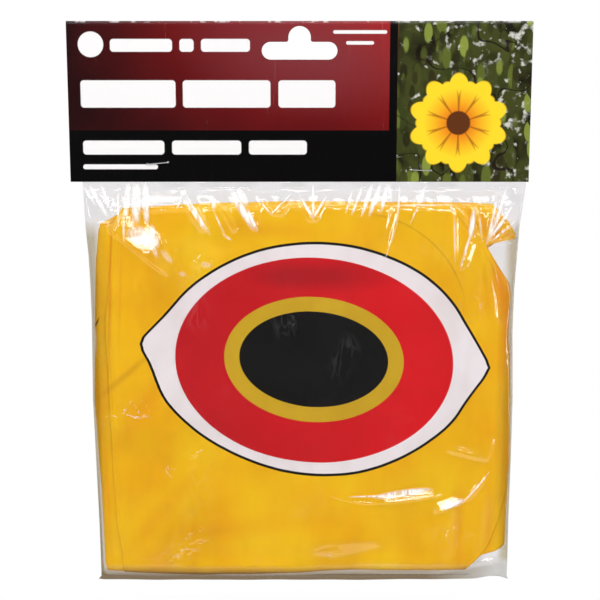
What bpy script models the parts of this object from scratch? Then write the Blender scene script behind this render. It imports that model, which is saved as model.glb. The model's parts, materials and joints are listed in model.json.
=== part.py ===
"""Folded bird scare balloon in its hanging retail pack.

A header card with a euro slot is stapled over the lip of a clear film bag. The bag's pouch
hangs from it by a pinched neck of film and holds a balloon of six vinyl gores, which lie
nested in a flat stack that is folded in three. The front of the pack faces -Y, +Z is up,
and the origin is the top of the slot, where a peg bears.
"""

import math

import bmesh
import bpy

# Header card
CARD_WIDTH = 0.1905
CARD_DROP = 0.066
BOARD = 0.00045
CREASE_ABOVE_SLOT = 0.0020

# Euro slot
SLOT_WIDTH = 0.031
SLOT_BAND = 0.0072
HUMP_WIDTH = 0.0092
HUMP_RISE = 0.0064
HUMP_FILLET = 0.0009
ARC_STEPS = 10
HOLE_STEPS = 12

# Clearances
SEAT_GAP = 0.0003
STAPLE_SEAT = 0.00015
HOLE_CLEARANCE = 0.0002
CUT_OVERRUN = 0.002
MERGE_REACH = 0.00002

# Staples
STAPLE_WIRE = 0.0005
STAPLE_CROWN = 0.0090
STAPLE_CLINCH = 0.0032
STAPLE_BEND = 0.0005
LEFT_STAPLE_X = -0.0589
LEFT_STAPLE_DROP = 0.0582
LEFT_STAPLE_TILT = math.radians(5.4)
RIGHT_STAPLE_X = 0.0504
RIGHT_STAPLE_DROP = 0.0611
RIGHT_STAPLE_TILT = math.radians(-2.9)

# Film bag
FILM = 0.0001
SIDE_SLACK = 0.0017
SIDE_WELD = 0.0013
DRAW_IN = 0.0065
NECK_TAPER = 0.0340
BAG_OFFSET = 0.0012
LIP_BELOW_SLOT = 0.0045
HINGE_BELOW_CARD = 0.0020
HINGE_CLEARANCE = 0.0009
NECK_SLIT = 0.0001
NECK_FLAT = 0.0012
BAG_CORNER = 0.0045
BOTTOM_FIN = 0.0015
EAR_REACH = 0.0012
EAR_DROP = 0.0006
FILM_EASE = 0.0004
CAP_SKIRT = 0.6
VALVE_SKIRT = 0.8
SHOULDER_STEPS = 6
BOTTOM_STEPS = 5
CORNER_STEPS = 4
FINE_ROWS = 13
COARSE_ROWS = 6
FINE_COLUMNS = 12
COARSE_COLUMNS = 6

# Balloon gores
GORE_COUNT = 6
BALL_DIAMETER = 0.305
VINYL = 0.0002
NECK_TO_BALLOON = 0.0093
FOLDED_HEIGHT = 0.1637
EYE_BELOW_TOP_FOLD = 0.0690
STACK_WIDTH = 0.1730
FRONT_GORE_WIDTH = 0.1656
FRONT_GORE_OFFSET = 0.0062
INNER_FOLD_RADIUS = 0.0006
CAP_RADIUS = 0.0290
GORE_END_TO_POLE = 0.0150
TOP_TAIL_DRIFT = -0.0120
BOTTOM_TAIL_DRIFT = 0.0300
STACK_BACK_SHIFT = 0.0005
GORE_FULLNESS = 3.0
GORE_TAPER = 0.6
RUN_STEPS = 12
FOLD_STEPS = 10

# Pole caps, tab and valve
CAP_SHEET = 0.00025
CAP_HOLE_RADIUS = 0.0045
CAP_PAST_TIP = 0.0150
ROUND_STEPS = 40
TAB_SHEET = 0.0004
TAB_BASE_RADIUS = 0.0110
TAB_WIDTH = 0.0150
TAB_LENGTH = 0.0300
TAB_HOLE_RADIUS = 0.0025
FLAP_SHEET = 0.00015
FLAP_WIDTH = 0.0120
FLAP_LENGTH = 0.0160
FLANGE_RADIUS = 0.0120
FLANGE_THICKNESS = 0.0006
STEM_RADIUS = 0.0035
STEM_BORE = 0.0024
STEM_BEND = 0.0046
STEM_STRAIGHT = 0.0090
MOUTH_BEAD = 0.0005
MOUTH_LENGTH = 0.0016
STEM_SIDES = 20
PLUG_PIN_LENGTH = 0.0060
PLUG_TIP_RADIUS = 0.0018
PLUG_HEAD_RADIUS = 0.0046
PLUG_HEAD_THICKNESS = 0.0014
PLUG_GRIP_RADIUS = 0.0016
PLUG_GRIP_HEIGHT = 0.0012
PLUG_TRAVEL = 0.0090
TETHER_WIDTH = 0.0026
TETHER_THICKNESS = 0.0008
TETHER_REACH = 0.0062
TETHER_FOOT_UP = 0.0030
TETHER_STEPS = 14

# Heights and depths that follow from the sizes above
CREASE_Z = CREASE_ABOVE_SLOT
CARD_BOTTOM_Z = CREASE_Z - CARD_DROP
LIP_THICKNESS = 2 * FILM
CARD_INSIDE = LIP_THICKNESS / 2 + SEAT_GAP
CARD_OUTSIDE = CARD_INSIDE + BOARD
HINGE_Z = CARD_BOTTOM_Z - HINGE_BELOW_CARD
BAG_WIDTH = STACK_WIDTH + 2 * (SIDE_SLACK + SIDE_WELD)
NECK_WIDTH = BAG_WIDTH + DRAW_IN
BALLOON_TOP_Z = CARD_BOTTOM_Z - NECK_TO_BALLOON
BALLOON_BOTTOM_Z = BALLOON_TOP_Z - FOLDED_HEIGHT
EYE_Z = BALLOON_TOP_Z - EYE_BELOW_TOP_FOLD
PITCH = VINYL + SEAT_GAP
STACK_DEPTH = (GORE_COUNT - 1) * PITCH
HALF_MERIDIAN = math.pi * BALL_DIAMETER / 4
GORE_REACH = HALF_MERIDIAN - GORE_END_TO_POLE
TAIL_SPACING = VINYL + CAP_SHEET + TAB_SHEET + 3 * SEAT_GAP
TOP_FOLD_OUTER = INNER_FOLD_RADIUS + STACK_DEPTH
BOTTOM_FOLD_INNER = (2 * INNER_FOLD_RADIUS + STACK_DEPTH + TAIL_SPACING) / 2
BOTTOM_FOLD_OUTER = BOTTOM_FOLD_INNER + STACK_DEPTH
TOP_FOLD_Z = BALLOON_TOP_Z - TOP_FOLD_OUTER - VINYL / 2
BOTTOM_FOLD_Z = BALLOON_BOTTOM_Z + BOTTOM_FOLD_OUTER + VINYL / 2
BOTTOM_FOLD_Y = STACK_BACK_SHIFT
TOP_FOLD_Y = BOTTOM_FOLD_Y - BOTTOM_FOLD_INNER + INNER_FOLD_RADIUS
STACK_BACK_Y = BOTTOM_FOLD_Y + BOTTOM_FOLD_OUTER + VINYL / 2
FLAP_Y = STACK_BACK_Y + SEAT_GAP
BOTTOM_CAP_Y = FLAP_Y + FLAP_SHEET + SEAT_GAP
FLANGE_Y = BOTTOM_CAP_Y + CAP_SHEET + SEAT_GAP
STEM_Y = FLANGE_Y + FLANGE_THICKNESS + STEM_BEND
TOP_CAP_Y = TOP_FOLD_Y + TOP_FOLD_OUTER + VINYL / 2 + SEAT_GAP
TAB_Y = TOP_CAP_Y + CAP_SHEET + SEAT_GAP
FRONT_DEPTH = BOTTOM_FOLD_OUTER + VINYL / 2 + FILM_EASE + FILM - STACK_BACK_SHIFT
BACK_DEPTH = STACK_BACK_Y + FILM_EASE + FILM
BOTTOM_REACH = BOTTOM_FOLD_Z - BALLOON_BOTTOM_Z + FILM_EASE + FILM
POUCH_FLAT = BAG_WIDTH / 2 - SIDE_WELD - BAG_CORNER


def clear_scene():
    for thing in list(bpy.data.objects):
        bpy.data.objects.remove(thing, do_unlink=True)


def finish(name, color, roughness, metallic=0.0, alpha=1.0):
    material = bpy.data.materials.new(name)
    material.use_nodes = True
    shader = material.node_tree.nodes["Principled BSDF"]
    shader.inputs["Base Color"].default_value = (*color, 1.0)
    shader.inputs["Roughness"].default_value = roughness
    shader.inputs["Metallic"].default_value = metallic
    shader.inputs["Alpha"].default_value = alpha
    return material


def add_object(name, mesh, material=None, smooth_angle=None):
    thing = bpy.data.objects.new(name, mesh)
    bpy.context.scene.collection.objects.link(thing)
    if material:
        mesh.materials.append(material)
    if smooth_angle is not None:
        mesh.shade_smooth()
        mesh.set_sharp_from_angle(angle=smooth_angle)
    return thing


def mesh_from_bmesh(name, shape):
    """Turn a bmesh into a mesh whose faces all point out."""
    bmesh.ops.recalc_face_normals(shape, faces=shape.faces)
    mesh = bpy.data.meshes.new(name)
    shape.to_mesh(mesh)
    shape.free()
    return mesh


def add_prism(shape, outline, place, reach):
    """Extrude an outline of (a, b) pairs by reach; place(a, b, depth) gives the point."""
    near = [shape.verts.new(place(a, b, 0.0)) for a, b in outline]
    far = [shape.verts.new(place(a, b, reach)) for a, b in outline]
    shape.faces.new(near)
    shape.faces.new(list(reversed(far)))
    for i, start in enumerate(near):
        j = (i + 1) % len(near)
        shape.faces.new((start, far[i], far[j], near[j]))


def arc(center_a, center_b, radius, start, end, steps):
    """Points on an arc, both ends included; angles in degrees."""
    points = []
    for i in range(steps + 1):
        angle = math.radians(start + (end - start) * i / steps)
        points.append((center_a + radius * math.cos(angle), center_b + radius * math.sin(angle)))
    return points


def circle(center_a, center_b, radius, steps):
    """Points round a circle, none twice."""
    return arc(center_a, center_b, radius, 0, 360 - 360 / steps, steps - 1)


def facing(start_y):
    """Place (x, z) outlines in the pack's plane, starting at start_y and growing backwards."""
    return lambda x, z, depth: (x, start_y + depth, z)


def smooth_step(share):
    share = min(max(share, 0.0), 1.0)
    return share * share * (3 - 2 * share)


def slot_outline():
    """Euro slot in (x, z): a band with round ends and a round hump above its middle."""
    end_radius = SLOT_BAND / 2
    end_x = SLOT_WIDTH / 2 - end_radius
    band_top = -HUMP_RISE
    band_middle = band_top - end_radius
    hump = HUMP_WIDTH / 2
    outline = arc(end_x, band_middle, end_radius, -90, 90, ARC_STEPS)
    outline += arc(hump + HUMP_FILLET, band_top + HUMP_FILLET, HUMP_FILLET, -90, -180, ARC_STEPS // 2)
    outline += arc(0, -hump, hump, 0, 180, ARC_STEPS)
    outline += arc(-hump - HUMP_FILLET, band_top + HUMP_FILLET, HUMP_FILLET, 0, -90, ARC_STEPS // 2)
    outline += arc(-end_x, band_middle, end_radius, 90, 270, ARC_STEPS)
    return outline


def staple_places():
    """(name, middle x, middle z, tilt) of each staple."""
    return (
        ("staple_left", LEFT_STAPLE_X, CREASE_Z - LEFT_STAPLE_DROP, LEFT_STAPLE_TILT),
        ("staple_right", RIGHT_STAPLE_X, CREASE_Z - RIGHT_STAPLE_DROP, RIGHT_STAPLE_TILT),
    )


def header_cutter():
    """One hidden shape that cuts the slot and the four staple holes through the header."""
    reach = 2 * (CARD_OUTSIDE + CUT_OVERRUN)
    shape = bmesh.new()
    add_prism(shape, slot_outline(), facing(-reach / 2), reach)
    leg = STAPLE_CROWN / 2 - STAPLE_WIRE / 2
    for _, middle_x, middle_z, tilt in staple_places():
        for side in (-1, 1):
            hole_x = middle_x + side * leg * math.cos(tilt)
            hole_z = middle_z + side * leg * math.sin(tilt)
            outline = circle(hole_x, hole_z, STAPLE_WIRE / 2 + HOLE_CLEARANCE, HOLE_STEPS)
            add_prism(shape, outline, facing(-reach / 2), reach)
    return hidden_cutter("header_cutter", shape)


def hidden_cutter(name, shape):
    cutter = add_object(name, mesh_from_bmesh(name, shape))
    cutter.hide_render = True
    cutter.display_type = "WIRE"
    return cutter


def cut(thing, cutter):
    modifier = thing.modifiers.new("cut", "BOOLEAN")
    modifier.operation = "DIFFERENCE"
    modifier.solver = "EXACT"
    modifier.object = cutter


def header_card(cutter):
    """One board folded over at the crease, cut for the slot and the staples."""
    crease_middle = CREASE_Z - CARD_OUTSIDE
    profile = [(-CARD_OUTSIDE, CARD_BOTTOM_Z)]
    profile += arc(0, crease_middle, CARD_OUTSIDE, 180, 0, ARC_STEPS)
    profile += [(CARD_OUTSIDE, CARD_BOTTOM_Z), (CARD_INSIDE, CARD_BOTTOM_Z)]
    profile += arc(0, crease_middle, CARD_INSIDE, 0, 180, ARC_STEPS)
    profile += [(-CARD_INSIDE, CARD_BOTTOM_Z)]
    shape = bmesh.new()
    add_prism(shape, profile, lambda y, z, depth: (depth - CARD_WIDTH / 2, y, z), CARD_WIDTH)
    board = finish("coated_board", (0.12, 0.02, 0.03), 0.3)
    card = add_object("header_card", mesh_from_bmesh("header_card", shape), board)
    cut(card, cutter)


def bag_lip(cutter):
    """The bag's mouth, its two films pinched flat inside the card down to the fold line."""
    top = -HUMP_RISE - SLOT_BAND - LIP_BELOW_SLOT
    bottom = HINGE_Z + HINGE_CLEARANCE / 2
    left = BAG_OFFSET - NECK_WIDTH / 2
    right = BAG_OFFSET + NECK_WIDTH / 2
    outline = [(left, bottom), (right, bottom), (right, top), (left, top)]
    shape = bmesh.new()
    add_prism(shape, outline, facing(-LIP_THICKNESS / 2), LIP_THICKNESS)
    film = finish("clear_film", (0.9, 0.9, 0.92), 0.1, alpha=0.3)
    lip = add_object("bag_lip", mesh_from_bmesh("bag_lip", shape), film)
    cut(lip, cutter)
    return film


def staple(name, middle_x, middle_z, tilt, wire):
    """Round wire: a crown in front, a leg through the card at each end, clinched behind."""
    leg = STAPLE_CROWN / 2 - STAPLE_WIRE / 2
    face = CARD_OUTSIDE + STAPLE_SEAT + STAPLE_WIRE / 2
    half = []
    half += [(leg - STAPLE_CLINCH, face)]
    half += arc(leg - STAPLE_BEND, face - STAPLE_BEND, STAPLE_BEND, 90, 0, ARC_STEPS // 2)
    half += arc(leg - STAPLE_BEND, STAPLE_BEND - face, STAPLE_BEND, 0, -90, ARC_STEPS // 2)
    path = half + [(-x, y) for x, y in reversed(half)]
    curve = bpy.data.curves.new(name, "CURVE")
    curve.dimensions = "3D"
    curve.bevel_depth = STAPLE_WIRE / 2
    curve.bevel_resolution = 2
    curve.use_fill_caps = True
    spline = curve.splines.new("POLY")
    spline.points.add(len(path) - 1)
    for point, (x, y) in zip(spline.points, path):
        point.co = (x, y, 0.0, 1.0)
    curve.materials.append(wire)
    thing = bpy.data.objects.new(name, curve)
    thing.location = (middle_x, 0.0, middle_z)
    thing.rotation_euler = (0.0, -tilt, 0.0)
    bpy.context.scene.collection.objects.link(thing)
    return thing


def gore_half_width(along, width):
    """Half width of a flattened gore at a distance along its meridian from the equator."""
    share = abs(along) / HALF_MERIDIAN
    return width / 2 * (1 - share**GORE_FULLNESS) ** GORE_TAPER


def side_limit(inset):
    """Half width that the film leaves for the layer at this inset."""
    depth = BOTTOM_FOLD_OUTER - inset + VINYL / 2 - STACK_BACK_SHIFT
    share = depth / (FRONT_DEPTH - FILM)
    room = POUCH_FLAT + (BAG_CORNER - FILM) * math.sqrt(1 - share**2) - FILM_EASE
    return min(room, STACK_WIDTH / 2)


def folded_path(inset):
    """Stations down the folded stack for the layer at this inset from the outermost one.

    Each is (along, y, z, ny, nz, drift): the distance from the equator, the place, the
    sheet's unit normal and how far the layer's middle has drifted in x.
    """
    top_radius = TOP_FOLD_OUTER - inset
    bottom_radius = BOTTOM_FOLD_OUTER - inset
    front_y = BOTTOM_FOLD_Y - bottom_radius
    top_run = TOP_FOLD_Z - EYE_Z
    bottom_run = EYE_Z - BOTTOM_FOLD_Z
    top_tail = GORE_REACH - top_run - math.pi * top_radius
    bottom_tail = GORE_REACH - bottom_run - math.pi * bottom_radius
    stations = []
    for i in range(RUN_STEPS):
        share = 1 - i / RUN_STEPS
        along = top_run + math.pi * top_radius + top_tail * share
        place = (TOP_FOLD_Y + top_radius, TOP_FOLD_Z - top_tail * share)
        stations.append((along, *place, 1.0, 0.0, TOP_TAIL_DRIFT * share))
    for i in range(FOLD_STEPS):
        angle = math.pi * i / FOLD_STEPS
        normal = (math.cos(angle), math.sin(angle))
        place = (TOP_FOLD_Y + top_radius * normal[0], TOP_FOLD_Z + top_radius * normal[1])
        stations.append((top_run + top_radius * (math.pi - angle), *place, *normal, 0.0))
    for i in range(RUN_STEPS + 1):
        z = TOP_FOLD_Z + (BOTTOM_FOLD_Z - TOP_FOLD_Z) * i / RUN_STEPS
        stations.append((z - EYE_Z, front_y, z, -1.0, 0.0, 0.0))
    for i in range(1, FOLD_STEPS):
        angle = math.pi * (1 + i / FOLD_STEPS)
        normal = (math.cos(angle), math.sin(angle))
        place = (
            BOTTOM_FOLD_Y + bottom_radius * normal[0],
            BOTTOM_FOLD_Z + bottom_radius * normal[1],
        )
        stations.append((-bottom_run - bottom_radius * (angle - math.pi), *place, *normal, 0.0))
    for i in range(RUN_STEPS + 1):
        share = i / RUN_STEPS
        along = -bottom_run - math.pi * bottom_radius - bottom_tail * share
        place = (BOTTOM_FOLD_Y + bottom_radius, BOTTOM_FOLD_Z + bottom_tail * share)
        stations.append((along, *place, 1.0, 0.0, BOTTOM_TAIL_DRIFT * share))
    return stations


def gore(number, vinyl):
    """One panel of the balloon as a folded sheet; number 1 is the outermost."""
    width = FRONT_GORE_WIDTH if number == 1 else STACK_WIDTH
    offset = FRONT_GORE_OFFSET if number == 1 else 0.0
    inset = (number - 1) * PITCH
    limit = side_limit(inset)
    shape = bmesh.new()
    rings = []
    for along, y, z, normal_y, normal_z, drift in folded_path(inset):
        half = gore_half_width(along, width)
        left = max(drift + offset - half, -limit)
        right = min(drift + offset + half, limit)
        rings.append(
            [
                shape.verts.new((x, y + side * VINYL / 2 * normal_y, z + side * VINYL / 2 * normal_z))
                for x, side in ((left, 1), (right, 1), (right, -1), (left, -1))
            ]
        )
    shape.faces.new(rings[0])
    shape.faces.new(list(reversed(rings[-1])))
    for above, below in zip(rings, rings[1:]):
        for i in range(4):
            j = (i + 1) % 4
            shape.faces.new((above[i], above[j], below[j], below[i]))
    name = "gore_%d" % number
    return add_object(name, mesh_from_bmesh(name, shape), vinyl, math.radians(40))


def tail_tips():
    """z of the tip of each tail's outermost layer: (top tail, bottom tail)."""
    stations = folded_path(0.0)
    return stations[0][2], stations[-1][2]


def cap_centers():
    """(x, z) of the top cap, which ends level with its tail, and of the bottom cap."""
    top_tip, bottom_tip = tail_tips()
    top = (TOP_TAIL_DRIFT, top_tip + CAP_RADIUS)
    bottom = (BOTTOM_TAIL_DRIFT, bottom_tip + CAP_PAST_TIP - CAP_RADIUS)
    return top, bottom


def add_washer(shape, center_x, center_z, outer, inner, front_y, thickness):
    """A round disc in the pack's plane with a hole through it."""
    rings = []
    for radius, y in (
        (outer, front_y),
        (outer, front_y + thickness),
        (inner, front_y + thickness),
        (inner, front_y),
    ):
        ring = []
        for i in range(ROUND_STEPS):
            angle = 2 * math.pi * i / ROUND_STEPS
            ring.append(
                shape.verts.new(
                    (center_x + radius * math.cos(angle), y, center_z + radius * math.sin(angle))
                )
            )
        rings.append(ring)
    for k, ring in enumerate(rings):
        after = rings[(k + 1) % len(rings)]
        for i in range(ROUND_STEPS):
            j = (i + 1) % ROUND_STEPS
            shape.faces.new((ring[i], ring[j], after[j], after[i]))


def top_cap(vinyl):
    (x, z), _ = cap_centers()
    shape = bmesh.new()
    add_prism(shape, circle(x, z, CAP_RADIUS, ROUND_STEPS), facing(TOP_CAP_Y), CAP_SHEET)
    return add_object("top_cap", mesh_from_bmesh("top_cap", shape), vinyl, math.radians(40))


def bottom_cap(vinyl):
    _, (x, z) = cap_centers()
    shape = bmesh.new()
    add_washer(shape, x, z, CAP_RADIUS, CAP_HOLE_RADIUS, BOTTOM_CAP_Y, CAP_SHEET)
    return add_object("bottom_cap", mesh_from_bmesh("bottom_cap", shape), vinyl, math.radians(40))


def hang_tab(vinyl):
    """A round base on the top cap and a tongue that runs up from it to a punched hole."""
    (x, z), _ = cap_centers()
    half = TAB_WIDTH / 2
    lean = math.degrees(math.acos(half / TAB_BASE_RADIUS))
    hole_z = z + TAB_LENGTH - half
    outline = arc(x, z, TAB_BASE_RADIUS, 180 - lean, 360 + lean, ARC_STEPS * 2)
    outline += arc(x, hole_z, half, 0, 180, ARC_STEPS)
    shape = bmesh.new()
    add_prism(shape, outline, facing(TAB_Y), TAB_SHEET)
    tab = add_object("hang_tab", mesh_from_bmesh("hang_tab", shape), vinyl, math.radians(40))
    drill = bmesh.new()
    hole = circle(x, hole_z, TAB_HOLE_RADIUS, 2 * HOLE_STEPS)
    add_prism(drill, hole, facing(TAB_Y - CUT_OVERRUN), TAB_SHEET + 2 * CUT_OVERRUN)
    cutter = hidden_cutter("tab_cutter", drill)
    cut(tab, cutter)
    return tab, cutter


def stem_sections():
    """(centre y, centre z above the valve's middle, lean, outer radius) from flange to mouth."""
    top = FLANGE_Y + FLANGE_THICKNESS
    sections = [
        (FLANGE_Y, 0.0, 0.0, FLANGE_RADIUS),
        (top - FLANGE_THICKNESS / 3, 0.0, 0.0, FLANGE_RADIUS),
        (top, 0.0, 0.0, STEM_RADIUS + MOUTH_BEAD),
    ]
    for i in range(1, ARC_STEPS + 1):
        lean = math.pi / 2 * i / ARC_STEPS
        y = top + STEM_BEND * math.sin(lean)
        z = STEM_BEND * (1 - math.cos(lean))
        sections.append((y, z, lean, STEM_RADIUS))
    mouth_z = STEM_BEND + STEM_STRAIGHT
    bead = STEM_RADIUS + MOUTH_BEAD
    sections.append((STEM_Y, mouth_z - MOUTH_LENGTH - MOUTH_BEAD, math.pi / 2, STEM_RADIUS))
    sections.append((STEM_Y, mouth_z - MOUTH_LENGTH, math.pi / 2, bead))
    sections.append((STEM_Y, mouth_z, math.pi / 2, bead))
    return sections


def valve_stem(soft):
    """Flange and stem in one moulding, its bore open from the flange to the mouth."""
    _, (x, z) = cap_centers()
    shape = bmesh.new()
    outer, inner = [], []
    for y, up, lean, radius in stem_sections():
        for rings, size in ((outer, radius), (inner, STEM_BORE)):
            ring = []
            for i in range(STEM_SIDES):
                angle = 2 * math.pi * i / STEM_SIDES
                across = size * math.sin(angle)
                point = (
                    x + size * math.cos(angle),
                    y - across * math.sin(lean),
                    z + up + across * math.cos(lean),
                )
                ring.append(shape.verts.new(point))
            rings.append(ring)
    for rings in (outer, inner):
        for near, far in zip(rings, rings[1:]):
            for i in range(STEM_SIDES):
                j = (i + 1) % STEM_SIDES
                shape.faces.new((near[i], near[j], far[j], far[i]))
    for k in (0, -1):
        for i in range(STEM_SIDES):
            j = (i + 1) % STEM_SIDES
            shape.faces.new((outer[k][i], outer[k][j], inner[k][j], inner[k][i]))
    return add_object("valve_stem", mesh_from_bmesh("valve_stem", shape), soft, math.radians(35))


def valve_flap(soft):
    """Thin tongue of film that closes the bore from inside the balloon."""
    _, (x, z) = cap_centers()
    half_x = FLAP_WIDTH / 2
    half_z = FLAP_LENGTH / 2
    outline = [
        (x - half_x, z - half_z),
        (x + half_x, z - half_z),
        (x + half_x, z + half_z),
        (x - half_x, z + half_z),
    ]
    shape = bmesh.new()
    add_prism(shape, outline, facing(FLAP_Y), FLAP_SHEET)
    return add_object("valve_flap", mesh_from_bmesh("valve_flap", shape), soft)


def plug_seat():
    """(x, y, z) of the stem mouth's middle, where the plug's head sits."""
    _, (x, z) = cap_centers()
    return x, STEM_Y, z + STEM_BEND + STEM_STRAIGHT


def valve_plug(soft):
    """Turned plug on the stem's axis: tapered pin, head and grip. Its origin is the seat."""
    head = SEAT_GAP + PLUG_HEAD_THICKNESS
    pin = STEM_BORE - SEAT_GAP
    profile = [
        (0.0, head + PLUG_GRIP_HEIGHT),
        (PLUG_GRIP_RADIUS, head + PLUG_GRIP_HEIGHT),
        (PLUG_GRIP_RADIUS, head),
        (PLUG_HEAD_RADIUS - PLUG_HEAD_THICKNESS / 3, head),
        (PLUG_HEAD_RADIUS, head - PLUG_HEAD_THICKNESS / 3),
        (PLUG_HEAD_RADIUS, SEAT_GAP),
        (pin, SEAT_GAP),
        (pin, -PLUG_PIN_LENGTH / 2),
        (PLUG_TIP_RADIUS, -PLUG_PIN_LENGTH),
        (0.0, -PLUG_PIN_LENGTH),
    ]
    shape = bmesh.new()
    points = [shape.verts.new((radius, 0.0, z)) for radius, z in profile]
    edges = [shape.edges.new(pair) for pair in zip(points, points[1:])]
    bmesh.ops.spin(
        shape,
        geom=points + edges,
        cent=(0, 0, 0),
        axis=(0, 0, 1),
        angle=2 * math.pi,
        steps=STEM_SIDES,
        use_merge=True,
    )
    bmesh.ops.remove_doubles(shape, verts=shape.verts, dist=MERGE_REACH)
    plug = add_object("valve_plug", mesh_from_bmesh("valve_plug", shape), soft, math.radians(35))
    plug.location = plug_seat()
    return plug


def valve_tether(soft):
    """Strap in the pack's plane that loops from the stem's foot out to the plug's head."""
    x, y, mouth_z = plug_seat()
    foot_x = x + STEM_RADIUS + SEAT_GAP
    foot_z = mouth_z - STEM_STRAIGHT + TETHER_FOOT_UP
    head_x = x + PLUG_HEAD_RADIUS + SEAT_GAP
    head_z = mouth_z + SEAT_GAP + PLUG_HEAD_THICKNESS / 2
    rise = head_z - foot_z
    shape = bmesh.new()
    rings = []
    for i in range(TETHER_STEPS + 1):
        share = i / TETHER_STEPS
        angle = math.pi * (share - 0.5)
        bow = TETHER_REACH * math.cos(angle)
        middle_x = foot_x + (head_x - foot_x) * share + bow
        middle_z = foot_z + rise * (1 + math.sin(angle)) / 2
        slope_x = (head_x - foot_x) / math.pi - TETHER_REACH * math.sin(angle)
        slope_z = rise * math.cos(angle) / 2
        if i in (0, TETHER_STEPS):
            slope_x, slope_z = (1.0, 0.0) if i == 0 else (-1.0, 0.0)
        length = math.hypot(slope_x, slope_z)
        side = (slope_z / length, -slope_x / length)
        ring = []
        for across, deep in ((1, 1), (-1, 1), (-1, -1), (1, -1)):
            offset = across * TETHER_THICKNESS / 2
            depth = deep * TETHER_WIDTH / 2
            ring.append(
                shape.verts.new((middle_x + side[0] * offset, y + depth, middle_z + side[1] * offset))
            )
        rings.append(ring)
    shape.faces.new(rings[0])
    shape.faces.new(list(reversed(rings[-1])))
    for near, far in zip(rings, rings[1:]):
        for i in range(4):
            j = (i + 1) % 4
            shape.faces.new((near[i], near[j], far[j], far[i]))
    return add_object("valve_tether", mesh_from_bmesh("valve_tether", shape), soft, math.radians(50))


def plateau(x, z, middle, half_x, half_z, skirt):
    """1 on a rounded patch of the pack's plane, easing to 0 over a skirt round it."""
    away_x = (x - middle[0]) / half_x
    away_z = (z - middle[1]) / half_z
    away = (away_x**4 + away_z**4) ** 0.25
    return 1 - smooth_step((away - 1) / skirt)


def valve_patch():
    """(middle, half width, half height) of the stem, the tether and the plug's travel."""
    seat_x, _, seat_z = plug_seat()
    low = seat_z - STEM_STRAIGHT - STEM_BEND - STEM_RADIUS
    high = seat_z + PLUG_HEAD_THICKNESS + PLUG_GRIP_HEIGHT + PLUG_TRAVEL
    half_x = PLUG_HEAD_RADIUS + (TETHER_REACH + TETHER_THICKNESS) / 2
    middle = (seat_x + TETHER_REACH / 2, (high + low) / 2)
    return middle, half_x, (high - low) / 2


def back_bulge(x, z):
    """How far the back film stands out over the bottom cap and its valve."""
    _, cap = cap_centers()
    over_cap = FLANGE_Y + FLANGE_THICKNESS - STACK_BACK_Y
    over_valve = STEM_Y + PLUG_HEAD_RADIUS - FLANGE_Y - FLANGE_THICKNESS
    middle, half_x, half_z = valve_patch()
    bulge = over_cap * plateau(x, z, cap, CAP_RADIUS, CAP_RADIUS, CAP_SKIRT)
    return bulge + over_valve * plateau(x, z, middle, half_x, half_z, VALVE_SKIRT)


def spaced(start, end, steps):
    """Even steps from start up to, but not including, end."""
    return [start + (end - start) * i / steps for i in range(steps)]


def neck_flare(z):
    """The bag's width at this height, as a factor: it narrows below its flat neck."""
    taper = 1 - smooth_step((HINGE_Z - z) / NECK_TAPER)
    return 1 + (NECK_WIDTH / BAG_WIDTH - 1) * taper


def pouch_rows(depth_front, depth_back, bottom_reach):
    """(z, front depth, back depth) down the pouch's skin, from the neck to its bottom."""
    neck_z = HINGE_Z - HINGE_CLEARANCE / 2
    shoulder_z = neck_z - NECK_FLAT
    neck = NECK_SLIT / 2 + depth_front - FRONT_DEPTH + FILM
    patch, _, half_z = valve_patch()
    focus_low = patch[1] - half_z * (1 + VALVE_SKIRT)
    rows = [(neck_z, neck, neck)]
    for i in range(SHOULDER_STEPS):
        ease = smooth_step(i / SHOULDER_STEPS)
        z = shoulder_z + (TOP_FOLD_Z - shoulder_z) * i / SHOULDER_STEPS
        rows.append((z, neck + (depth_front - neck) * ease, neck + (depth_back - neck) * ease))
    body = spaced(TOP_FOLD_Z, focus_low, FINE_ROWS)
    body += spaced(focus_low, BOTTOM_FOLD_Z, COARSE_ROWS)
    rows += [(z, depth_front, depth_back) for z in body]
    for i in range(BOTTOM_STEPS + 1):
        angle = math.pi / 2 * i / BOTTOM_STEPS
        z = BOTTOM_FOLD_Z - bottom_reach * math.sin(angle)
        rows.append((z, depth_front * math.cos(angle), depth_back * math.cos(angle)))
    return rows


def pouch_columns(corner):
    """(x, depth share) across the pouch, with a quarter ellipse at each side."""
    middle, half_x, _ = valve_patch()
    focus_left = middle[0] - half_x * (1 + VALVE_SKIRT)
    focus_right = middle[0] + half_x * (1 + VALVE_SKIRT)
    columns = []
    for i in range(CORNER_STEPS):
        angle = math.pi / 2 * i / CORNER_STEPS
        columns.append((POUCH_FLAT + corner * math.cos(angle), math.sin(angle)))
    flat = spaced(-POUCH_FLAT, focus_left, COARSE_COLUMNS)
    flat += spaced(focus_left, focus_right, FINE_COLUMNS)
    flat += spaced(focus_right, POUCH_FLAT, COARSE_COLUMNS // 2)
    flat += [POUCH_FLAT]
    left = [(-x, share) for x, share in columns]
    return left + [(x, 1.0) for x in flat] + list(reversed(columns))


def skin_points(corner, depth_front, depth_back, bottom_reach, least):
    """The points of a front and a back skin, row by row, none nearer the middle than least."""
    front, back = [], []
    for z, front_depth, back_depth in pouch_rows(depth_front, depth_back, bottom_reach):
        fade = back_depth / depth_back
        flare = neck_flare(z)
        columns = pouch_columns(corner)
        front.append([(x * flare, -max(front_depth * share, least), z) for x, share in columns])
        back.append(
            [
                (x * flare, max(share * (back_depth + fade * back_bulge(x, z)), least), z)
                for x, share in columns
            ]
        )
    return front, back


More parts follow.
